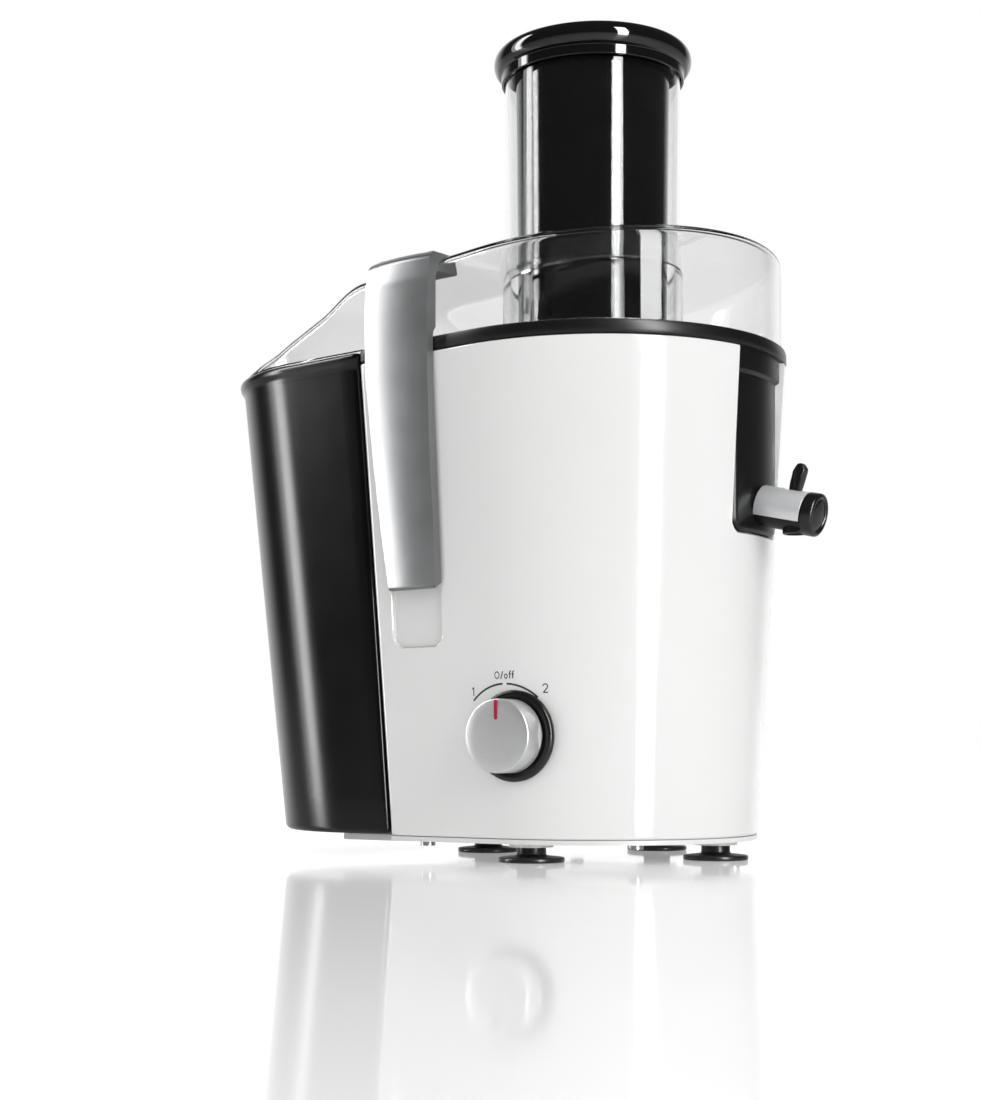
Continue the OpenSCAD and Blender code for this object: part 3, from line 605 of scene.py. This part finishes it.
def bowl():
    """The black juice bowl and its rim between the housing and the lid."""
    shape = Shape()
    low, high = HOUSING_Z[1] + 0.1, FLANGE_TOP

    def loop(z, inset):
        half = half_outline(HOUSING_Z[1], SPLIT_X[1], 1, inset, 2.0)
        return [Vector((p.x, p.y, z)) for p in whole_outline(half)]

    round_over = [(low, 1.4), (low + 0.3, 0.5), (low + 1.1, 0.05), (mix(low, high, 0.5), 0),
                  (high - 1.6, 0.05), (high - 0.6, 0.4), (high - 0.1, 1.2), (high, 2.2)]
    rows = [loop(z, inset) for z, inset in round_over]
    rim = rows[-1]
    inside = [(78.0, high), (76.6, high - 0.6), (76.2, high - 2), (70.6, 168), (67, 165.2), (33, 165.2),
              (23, 173.6), (14, 175.6)]
    under = [(13.5, 172.4), (22, 171), (30, 162.5), (67.5, 162.5), (72.5, 166.5), (78.4, low)]
    for r, z in inside + under:
        rows.append([Vector((p.x, p.y, 0)).normalized() * r + Vector((0, 0, z)) for p in rim])
    rows.append(rows[0])
    shape.rows(rows)
    piece = shape.make("juice_bowl_black", [M["bowl_plastic"]], sharp=38)
    return finish_piece(piece, "casing", "bowl_plastic", "juice_bowl")


def panel():
    """The bowl's black panel: a curved plate with rounded lower corners and a step near its top."""
    half = math.radians(PANEL_ANGLE)
    top = HOUSING_Z[1] + 0.5
    shape = Shape()
    columns = spread(-half, half, 49)
    heights = spread(PANEL_Z, PANEL_Z + 9, 19) + spread(168, 227, 9) + spread(228, 231, 9) + [235, top]
    low, high = (-half * PANEL_R, PANEL_Z), (half * PANEL_R, top + 30)
    rows = []
    for z in heights:
        row = []
        for a in columns:
            lift = smoothstep(*PANEL_STEP_Z, z) * 2.0
            dome = 1.2 * smoothstep(0.0, -1.6, box_distance(a * PANEL_R, z, low, high, PANEL_CORNER))
            row.append(panel_point(a, z, PANEL_R - 1.2 + lift + dome))
        rows.append(row)
    back = [[Vector((v.x, v.y, 0)).normalized() * PANEL_BACK_R + Vector((0, 0, v.z)) for v in row]
            for row in rows]
    shape.rows(rows, closed=False)
    shape.rows(back, closed=False)
    for end in (0, -1):
        shape.rows([rows[end], back[end]], closed=False)
    for end in (0, -1):
        shape.rows([[r[end] for r in rows], [r[end] for r in back]], closed=False)
    plate = shape.make("panel_black", [M["bowl_plastic"]], sharp=40)
    return finish_piece(plate, "casing", "bowl_plastic", "spout_panel")


def panel_point(angle, z, r):
    """A point of the panel's face, kept inside the plate's rounded lower corners."""
    half = math.radians(PANEL_ANGLE) * PANEL_R
    x = angle * PANEL_R
    cx, cz = half - PANEL_CORNER, PANEL_Z + PANEL_CORNER
    if abs(x) > cx and z < cz:
        reach = math.hypot(abs(x) - cx, z - cz)
        if reach > PANEL_CORNER:
            x = math.copysign(cx + (abs(x) - cx) * PANEL_CORNER / reach, x)
            z = cz + (z - cz) * PANEL_CORNER / reach
    a = x / PANEL_R
    return Vector((r * math.cos(a), r * math.sin(a), z))


def lever_slot():
    """The cutter for the lever's slot in the top of the spout."""
    cutter = Shape()
    near, far, half = LEVER_ALONG - 6, LEVER_ALONG + 4, 3.2
    outline = [(near, -half), (far, -half), (far, half), (near, half)]
    cutter.slab(rounded(outline, 1.2, 4), 3, 15, on_spout())
    return cutter.make("slot_cutter", [])


def spout():
    """The short black spout with its outlet below, its bright sleeve and its black cap."""
    shape = Shape()
    turn = on_spout() @ Matrix.Rotation(math.pi / 2, 4, "Y")
    shape.turned([(7, -8), (9.4, -8), (9.4, 11.2), (9.45, 35.4), (7, 35.4), (7, -8)], 72, turn)
    shape.turned([(4.8, 153.7), (5.9, 153.7), (6.4, 154.2), (6.6, 164), (4.8, 164), (4.8, 153.7)], 48,
                 Matrix.Translation((OUTLET_X, 0, 0)))
    body = shape.make("spout_black", [M["bowl_plastic"]], sharp=40)
    cut(body, lever_slot(), sharp=40)
    finish_piece(body, "casing", "bowl_plastic", "juice_spout")

    sleeve = Shape()
    open_at = math.radians(118)                # the sleeve leaves the spout's underside bare
    rows = []
    inner = SLEEVE_R - 0.55
    profile = rounded([(inner, 12), (SLEEVE_R, 12), (SLEEVE_R, SLEEVE_END), (inner, SLEEVE_END)], 0.24, 3)
    for a in spread(-open_at, open_at, 73):
        rows.append([on_spout() @ Vector((l, r * math.sin(a), r * math.cos(a))) for r, l in profile])
    sleeve.rows(rows, caps=(True, True))
    band = sleeve.make("spout_band", [M["spout_metal"]], sharp=40)
    cut(band, lever_slot(), sharp=40)
    finish_piece(band, "casing", "spout_metal", "spout_sleeve")

    cap = Shape()
    tip = SPOUT_TIP
    profile = [(0.01, 35.6), (SLEEVE_R - 0.3, 35.6), (SLEEVE_R + 0.2, 36.0), (SLEEVE_R + 0.2, tip - 1.3),
               (SLEEVE_R - 0.1, tip - 0.5), (SLEEVE_R - 0.9, tip - 0.05), (SLEEVE_R - 1.6, tip),
               (SLEEVE_R - 2.1, tip - 0.25), (SLEEVE_R - 2.5, tip - 0.9), (SLEEVE_R - 2.9, tip - 0.95),
               (SLEEVE_R - 3.4, tip - 0.6), (SLEEVE_R - 5, tip - 0.42), (0.01, tip - 0.35)]
    cap.turned(profile, 72, turn, (True, True))
    end = cap.make("spout_end_cap", [M["black_gloss"]], sharp=50)
    finish_piece(end, "casing", "black_gloss", "spout_cap")


def drip_lever():
    """The drip stop's little lever, rounded all over."""
    shape = Shape()
    place = on_spout() @ Matrix.Translation((LEVER_ALONG, 0, LEVER_UP))
    points = [(-1.7, -8), (1.7, -8), (2.4, 2), (3.3, 9), (3.7, 14), (1.6, 16.3), (-0.8, 15.9), (-2.3, 12.6),
              (-2.6, 6), (-2.1, 0)]
    side = rounded(points, [0.6, 0.6, 3, 4, 2, 1.8, 1.8, 2, 4, 3], 4)
    middle = Vector((0.4, 4))
    half = 2.9
    rows = []
    for t in spread(-1, 1, 13):
        swell = 1 - 0.22 * abs(t) ** 6
        rows.append([place @ Vector((mix(middle.x, x, swell), half * t, mix(middle.y, z, swell)))
                     for x, z in side])
    shape.rows(rows, caps=(True, True))
    lever = shape.make("drip_lever_black", [M["black_gloss"]], sharp=50)
    return finish_piece(lever, "drip_stop", "black_gloss", "drip_lever")


# ---------------------------------------------------------------- clear lid, tube and pusher

def lid_height(x):
    """The height of the lid's top at x: flat deck, then roof, then brim, with soft changes."""
    deck = LID_TOP + LID_SLOPE * x
    roof = LID_TOP + LID_SLOPE * ROOF_X - ROOF_SLOPE * (ROOF_X - x)
    soft, level = 1.6, 260                     # level only keeps the powers small
    top = level - soft * math.log(math.exp((level - deck) / soft) + math.exp((level - roof) / soft))
    return BRIM_TOP + soft * 0.8 * math.log(1 + math.exp((top - BRIM_TOP) / (soft * 0.8)))


def lid_fall(x, y):
    """How much lower the roof over the container lies toward its sides."""
    return 5.0 * (y / LID_END_R) ** 2 * smoothstep(-84, -112, x) * smoothstep(-166, -140, x)


def lid_outline(inset):
    """The lid's outline as a closed loop, starting at the middle of the round front."""
    big, small, gap = LID_R - inset, LID_END_R - inset, END_GAP[1]
    s = (small - big) / gap
    first = math.atan2(math.sqrt(1 - s * s), s)
    half = [Vector((big * math.cos(a), big * math.sin(a))) for a in spread(0, first, 60)]
    end = Vector((-gap + small * s, small * math.sqrt(1 - s * s)))
    half += [half[-1].lerp(end, t) for t in spread(0, 1, 56)[1:-1]]
    half += [Vector((-gap + small * math.cos(a), small * math.sin(a))) for a in spread(first, math.pi, 48)]
    return half + [Vector((p.x, -p.y)) for p in reversed(half[1:-1])]


def lid():
    """The clear lid: a thin shell with a rounded upper edge and a sloping roof over the container."""
    shape = Shape()
    tube_hole = TUBE_FOOT_R + 0.1

    def lid_top(p):
        return lid_height(p.x) - lid_fall(p.x, p.y)

    def shell(thick):
        outer = lid_outline(thick)
        rows = []
        edge = 5.5 - thick
        for lift in (0, 0.2, 0.45, 0.7, 0.88):
            rows.append([Vector((p.x, p.y, mix(LID_Z, max(lid_top(p) - thick - edge, LID_Z + 0.2), lift)))
                         for p in outer])
        for i in range(7):
            a = math.pi / 2 * i / 6
            row = []
            for p in lid_outline(thick + edge * (1 - math.cos(a))):
                top = lid_top(p) - thick
                room = min(edge, max(top - LID_Z - 0.3, 0.05))
                row.append(Vector((p.x, p.y, top - room * (1 - math.sin(a)))))
            rows.append(row)
        ring = lid_outline(thick + edge)
        for t in spread(0, 1, 30)[1:]:
            row = []
            for p in ring:
                q = p.lerp(p.normalized() * tube_hole, t) if p.length > 1 else p
                row.append(Vector((q.x, q.y, lid_top(q) - thick)))
            rows.append(row)
        return rows

    outside, inside = shell(0.0), shell(CLEAR_WALL)
    rows = outside + list(reversed(inside)) + [outside[0]]
    shape.rows(rows)
    clear = shape.make("lid_dome", [M["lid_clear"]], sharp=50)
    finish_piece(clear, "casing", "lid_clear", "lid")
    return clear


def feed_tube():
    """The clear feed tube: its collar stands on the lid, and its foot reaches down to the grating."""
    shape = Shape()
    inner = TUBE_R - 2.6
    outline = [(inner, TUBE_FOOT), (inner + 0.6, TUBE_FOOT), (TUBE_FOOT_R, TUBE_FOOT),
               (TUBE_FOOT_R, LID_TOP + 1), (TUBE_R, LID_TOP + 4), (TUBE_R, TUBE_TOP), (inner, TUBE_TOP)]
    profile = rounded(outline, [0.6, 0, 1.0, 1.2, 2.5, 0.9, 0.9], 5)
    shape.turned(profile + [profile[0]], 144)
    tube = shape.make("feed_tube_clear", [M["tube_clear"]], sharp=50)
    return finish_piece(tube, "casing", "tube_clear", "feed_tube")


def pusher():
    """The glossy black pusher: an open cup with a wide rounded flange and a skirt over the tube."""
    shape = Shape()
    top, foot = PUSHER_TOP, PUSHER_FOOT
    guide = TUBE_R - 3.6
    outer = [(0.01, foot), (guide, foot), (guide, foot + 9), (PUSHER_R, foot + 14), (PUSHER_R, 389),
             (44.1, 389), (44.1, 384.6), (45.4, 384.6), (45.5, 389.2), (47.0, 389.6)]
    outside = rounded_path(outer, [0, 2, 1, 2, 0.8, 0.5, 0.4, 0.4, 0.4, 0], 5)
    flange = [(44.6 + 4.6 * math.cos(math.radians(a)), top - 5.6 + 5.6 * math.sin(math.radians(a)))
              for a in range(-56, 116, 7)]
    hollow = [flange[-1], (35.6, top - 2.6), (34.2, top - 7), (33.6, foot + 8), (0.01, foot + 4)]
    inside = rounded_path(hollow, [0, 3, 6, 6, 0], 6)
    shape.turned(outside + flange + inside[1:], 144, caps=(True, True))
    piece = shape.make("pusher_gloss", [M["pusher_black"]], sharp=50)
    return finish_piece(piece, "pusher", "pusher_black", "pusher")


# ---------------------------------------------------------------- clamps

def arm_edges(z):
    """The left and right edge of a clamp arm at a height, as places along the side wall."""
    left = mix(-52.5, -62.8, min(max((z - 125) / 110, 0), 1))
    right = mix(-22, -23.6, min(max((z - 125) / 105, 0), 1))
    corner_r = 6
    above, below = max(z - 281.6, 0), max(133 - z, 0)
    turn = corner_r - math.sqrt(max(corner_r ** 2 - above ** 2, 0))
    tuck = 1.5 * (below / 4.5) ** 2
    return left + turn + tuck, right - turn * 0.3 - tuck


def clamp_arm(side):
    """One silver clamp arm: a side profile drawn across the arm's changing width."""
    shape = Shape()
    wall = side_wall(side)
    face = rounded_path([(94.2, 128.5), (95.8, 129.8), (97.8, 160), (99.6, 190), (101, 230), (101.4, 258),
                         (100.6, 274), (98.6, 284.6), (94.5, 287.4), (76.8, 287.4)],
                        [0, 1.2, 60, 60, 60, 30, 20, 5, 2.4, 0], 8)
    inner = [(76.8, 279), (77.6, 278.2), (92.2, 278), (93.6, 276), (93.6, 251.5), (95.5, 248.5), (95.6, 226),
             (91.6, 143), (91, 131.4)]
    profile = [tuple(p) for p in face] + inner
    rows = []
    for t in spread(0, 1, 15):
        row = []
        for q, z in profile:
            left, right = arm_edges(z)
            crown = 1.6 * (1 - (2 * t - 1) ** 2) - 1.1 if (q, z) in face[2:-2] else 0
            row.append(wall @ Vector((mix(left, right, t), q + crown, z)))
        rows.append(row)
    shape.rows(rows, caps=(True, True))
    arm = shape.make("clamp_arm_" + side, [M["clamp_silver"]], bevel=0.9, segments=3, sharp=34)
    return finish_piece(arm, "clamp_" + side + "_arm", "clamp_silver", "clamp_" + side)


# ---------------------------------------------------------------- switch

def switch():
    """The black ring, the silver knob with its finger flat, and the red pointer."""
    place = at_knob()
    collar = Shape()
    collar.turned([(4.2, -1.2), (BEZEL_R - 0.6, -1.2), (BEZEL_R, -0.2), (BEZEL_R, 1.2), (BEZEL_R - 0.5, 2.2),
                   (BEZEL_R - 1.5, 2.6), (KNOB_R + 1.2, 2.4), (KNOB_R + 0.9, 1.4), (4.2, 1.2), (4.2, -1.2)],
                  120, place)
    bezel = collar.make("switch_ring", [M["black_gloss"]], sharp=50)
    finish_piece(bezel, "casing", "black_gloss", "knob_bezel")

    knob = Shape()
    knob.turned([(0.01, 3.2), (KNOB_R - 0.6, 3.2), (KNOB_R, 3.8), (KNOB_R, 15.4), (KNOB_R - 0.15, 15.8),
                 (KNOB_R - 0.5, 16.05), (KNOB_R - 0.8, 16.15), (12, 16.45), (6, 16.62), (0.01, 16.7)],
                144, place, (True, True))
    disc = knob.make("switch_knob_silver", [M["knob_silver"]], sharp=50)
    grip = Shape()
    side = KNOB_R - 1.1
    grip.slab([(side, -7.5), (side + 4, -7.5), (side + 4, 7.5), (side, 7.5)], 4.6, 13.6, place)
    cut(disc, grip.make("grip_cutter", []), sharp=40)
    finish_piece(disc, "knob", "knob_silver", "switch_knob")

    mark = Shape()
    outline = rounded([(-0.9, 7.4), (0.9, 7.4), (0.9, 16.4), (-0.9, 16.4)], [0.8, 0.8, 0.2, 0.2], 5)
    mark.slab(outline, 15.0, 16.75, place)
    red = mark.make("switch_pointer", [M["pointer_red"]], bevel=0.15, sharp=40)
    finish_piece(red, "knob", "pointer_red", "knob_pointer")


def on_front(x, z, lift=0.05):
    """A point of the housing's front: on its round nose, or left of that on its flat side."""
    radius = at_height(FRONT_R, z)
    lean = (at_height(END_R, z) - radius) / at_height(END_GAP, z)
    radius += lift
    if x < radius * lean:
        return Vector((x, (lean * x - radius) / math.sqrt(1 - lean * lean), z))
    return Vector((x, -math.sqrt(max(radius ** 2 - x ** 2, 0)), z))


# The strokes of the printed signs, in mm about each sign's middle.
ONE = [[(-0.9, 1.1), (-0.1, 2.0)], [(-0.1, 2.0), (-0.1, -2.0)]]
TWO = [[(-1.1, 1.0), (-0.9, 1.7), (-0.2, 2.05), (0.6, 1.85), (1.0, 1.2), (0.8, 0.3), (-1.1, -1.95)],
       [(-1.1, -1.9), (1.1, -1.9)]]
SLASH = [[(-0.6, -1.8), (0.6, 1.8)]]
F = [[(0.7, 1.7), (0.2, 1.7), (-0.1, 1.2), (-0.1, -1.6)], [(-0.6, 0.4), (0.6, 0.4)]]


def dial_marks():
    """The printed scale round the switch: two arcs, the off mark and the two step numbers."""
    shape = Shape()
    cx, cz = KNOB[0] - 4.5, KNOB[1]
    radius, line = 24.2, 0.45
    for start, end in ((-47, -2.5), (2.5, 43)):
        rows = [[], []]
        for a in spread(start, end, 30):
            for row, r in zip(rows, (radius - line, radius + line)):
                row.append(on_front(cx + r * math.sin(math.radians(a)), cz + r * math.cos(math.radians(a))))
        shape.rows(rows, closed=False)
    ring(shape, cx - 4.0, cz + 28.2, 1.5)
    ring(shape, cx + 0.8, cz + 27.6, 0.95)
    signs = [(-17.4, 20.8, ONE), (20.2, 21.8, TWO), (-1.4, 28.2, SLASH), (2.9, 28.2, F), (4.5, 28.2, F)]
    for x, z, strokes in signs:
        for points in strokes:
            stroke(shape, cx + x, cz + z, points, 0.26)
    marks = shape.make("dial_print", [M["print_grey"]], sharp=60)
    return finish_piece(marks, "casing", "inner_black")


def ring(shape, x, z, radius):
    """A thin printed ring."""
    turns = spread(0, 2 * math.pi, 25)
    shape.rows([[on_front(x + r * 0.8 * math.sin(a), z + r * math.cos(a)) for a in turns]
                for r in (radius - 0.25, radius + 0.25)], closed=False)


def stroke(shape, x, z, points, half):
    """A thin printed line through points, laid on the housing's front."""
    line = [Vector(p) for p in points]
    left, right = [], []
    for i, p in enumerate(line):
        a, b = line[max(i - 1, 0)], line[min(i + 1, len(line) - 1)]
        side = (b - a).normalized()
        side = Vector((-side.y, side.x)) * half
        left.append(on_front(x + p.x + side.x, z + p.y + side.y))
        right.append(on_front(x + p.x - side.x, z + p.y - side.y))
    shape.rows([left, right], closed=False)


# ---------------------------------------------------------------- feet and base

def feet():
    """The four dark suction feet."""
    for name, (x, y) in FEET.items():
        shape = Shape()
        shape.turned([(0.01, 2.0), (8, 1.4), (12.4, 0.3), (13.2, 0.0), (FOOT_R - 0.3, 0.0), (FOOT_R, 0.3),
                      (FOOT_R, 1.7), (FOOT_R - 0.4, 2.2), (13, 2.5), (8, 3.0), (7.2, 3.3), (6.9, 3.9),
                      (6.9, 8.4), (0.01, 8.4)], 96, Matrix.Translation((x, y, 0)), (True, True))
        foot = shape.make("suction_foot_" + name, [M["foot_rubber"]], sharp=60)
        finish_piece(foot, "casing", "foot_rubber", "foot_" + name)


# ---------------------------------------------------------------- what stays as the CAD drew it

def dress_cad_nodes():
    """Gives every CAD node the material of its slot."""
    slots = {part["node"]: part["material_slot"] for part in frame["record"]["subparts"]}
    for name, obj in frame["nodes"].items():
        obj.data.materials.clear()
        obj.data.materials.append(M[slots[name]])


# ---------------------------------------------------------------- camera, floor and light

CAMERA_TURN = math.radians(32.9)
CAMERA_PLACE = (461.3, -833.0, 53.1)           # mm about the drive axis
CAMERA_LENS = 62.18
CAMERA_SHIFT = (0.0257, 0.1808)
ROOM_IN_GLOSS = 0.05                           # the dark room, as reflections see it
AMBIENT = 0.58                                 # the even light on every surface
AIM_HEIGHT = 0.2                               # the lights' target on the drive axis, m


def camera():
    """The photo's camera: level, close to the table, with its view shifted upwards."""
    data = bpy.data.cameras.new("camera")
    data.sensor_width = 36
    data.lens = CAMERA_LENS
    data.shift_x, data.shift_y = CAMERA_SHIFT
    data.clip_start = 0.01
    data.clip_end = 60
    obj = bpy.data.objects.new("camera", data)
    obj.location = (Vector(CAMERA_PLACE) + Vector((AXIS_X, 0, 0))) * MM
    obj.rotation_euler = (math.pi / 2, 0, CAMERA_TURN)
    bpy.context.scene.collection.objects.link(obj)
    bpy.context.scene.camera = obj


def floor():
    """The glossy white table, a hair under the feet."""
    mesh = bpy.data.meshes.new("floor")
    far = 12
    mesh.from_pydata([(-far, -far, 0), (far, -far, 0), (far, far, 0), (-far, far, 0)], [], [(0, 1, 2, 3)])
    material, tree, shader = new_material("floor_white")
    tone = ramp(tree, noise(tree, 2), (0.9, 0.9, 0.9), (0.92, 0.92, 0.92))
    tree.links.new(tone, shader.inputs["Base Color"])
    shader.inputs["Roughness"].default_value = 0.07
    shader.inputs["Specular IOR Level"].default_value = 0.4
    shader.inputs["Emission Color"].default_value = (1, 1, 1, 1)
    shader.inputs["Emission Strength"].default_value = 0.22
    mesh.materials.append(material)
    obj = bpy.data.objects.new("floor", mesh)
    obj.location.z = -0.0002
    bpy.context.scene.collection.objects.link(obj)


def light(name, turn, height, distance, size, radiance, kind):
    """An area light round the machine. turn is in degrees to the right of the camera's side.

    kind is "gloss" for a card that only makes highlights, or "matt" for a light that only falls on
    surfaces and shows in no reflection.
    """
    data = bpy.data.lights.new(name, "AREA")
    data.shape = "RECTANGLE"
    data.size, data.size_y = size
    data.energy = radiance * math.pi * size[0] * size[1]
    a = CAMERA_TURN + math.radians(turn)
    centre = Vector((AXIS_X * MM, 0, 0))
    place = centre + Vector((math.sin(a) * distance, -math.cos(a) * distance, height))
    obj = bpy.data.objects.new(name, data)
    obj.location = place
    toward = centre + Vector((0, 0, AIM_HEIGHT)) - place
    obj.rotation_euler = toward.to_track_quat("-Z", "Y").to_euler()
    obj.visible_diffuse = kind == "matt"
    obj.visible_glossy = kind == "gloss"
    obj.visible_transmission = kind == "gloss"
    bpy.context.scene.collection.objects.link(obj)


def world():
    """A white backdrop, an even soft light, and a dark room in the reflections but for the backdrop."""
    scene_world = bpy.data.worlds.new("studio")
    bpy.context.scene.world = scene_world
    scene_world.use_nodes = True
    tree = scene_world.node_tree
    tree.nodes.clear()
    link = tree.links.new

    def background(strength):
        node = tree.nodes.new("ShaderNodeBackground")
        node.inputs["Color"].default_value = (1, 1, 1, 1)
        node.inputs["Strength"].default_value = strength
        return node.outputs[0]

    def choose(factor, first, second):
        node = tree.nodes.new("ShaderNodeMixShader")
        link(factor, node.inputs[0])
        link(first, node.inputs[1])
        link(second, node.inputs[2])
        return node.outputs[0]

    direction = tree.nodes.new("ShaderNodeTexCoord")
    facing = tree.nodes.new("ShaderNodeVectorMath")
    facing.operation = "DOT_PRODUCT"
    facing.inputs[1].default_value = (-math.sin(CAMERA_TURN), math.cos(CAMERA_TURN), 0)
    link(direction.outputs["Generated"], facing.inputs[0])
    backdrop = tree.nodes.new("ShaderNodeMapRange")
    backdrop.interpolation_type = "SMOOTHSTEP"
    backdrop.inputs["From Min"].default_value = 0.55
    backdrop.inputs["From Max"].default_value = 0.85
    link(facing.outputs["Value"], backdrop.inputs["Value"])
    path = tree.nodes.new("ShaderNodeLightPath")
    mirrored = choose(backdrop.outputs["Result"], background(ROOM_IN_GLOSS), background(1.0))
    lit = choose(path.outputs["Diffuse Depth"], background(1.0), background(AMBIENT))
    output = tree.nodes.new("ShaderNodeOutputWorld")
    link(choose(path.outputs["Glossy Depth"], lit, mirrored), output.inputs["Surface"])


def studio():
    """A white studio: three bright cards for the highlights and two soft lights."""
    world()
    floor()
    light("strip_right", 30, 0.5, 1.6, (0.34, 2.2), 24, "gloss")
    light("card_left", -96, 0.5, 1.3, (0.2, 1.9), 9, "gloss")
    light("card_left_soft", -98, 0.5, 1.35, (0.42, 1.9), 2.5, "gloss")
    light("key", 36, 0.9, 1.7, (1.2, 1.2), 2.6, "matt")
    light("overhead", 0, 1.9, 0.2, (1.4, 1.4), 1.2, "matt")
    bpy.context.scene.view_settings.view_transform = "Standard"


# ---------------------------------------------------------------- making it all

camera()
studio()
dress_cad_nodes()
housing()
container()
bowl()
panel()
spout()
drip_lever()
lid()
feed_tube()
pusher()
clamp_arm("front")
clamp_arm("back")
switch()
dial_marks()
feet()
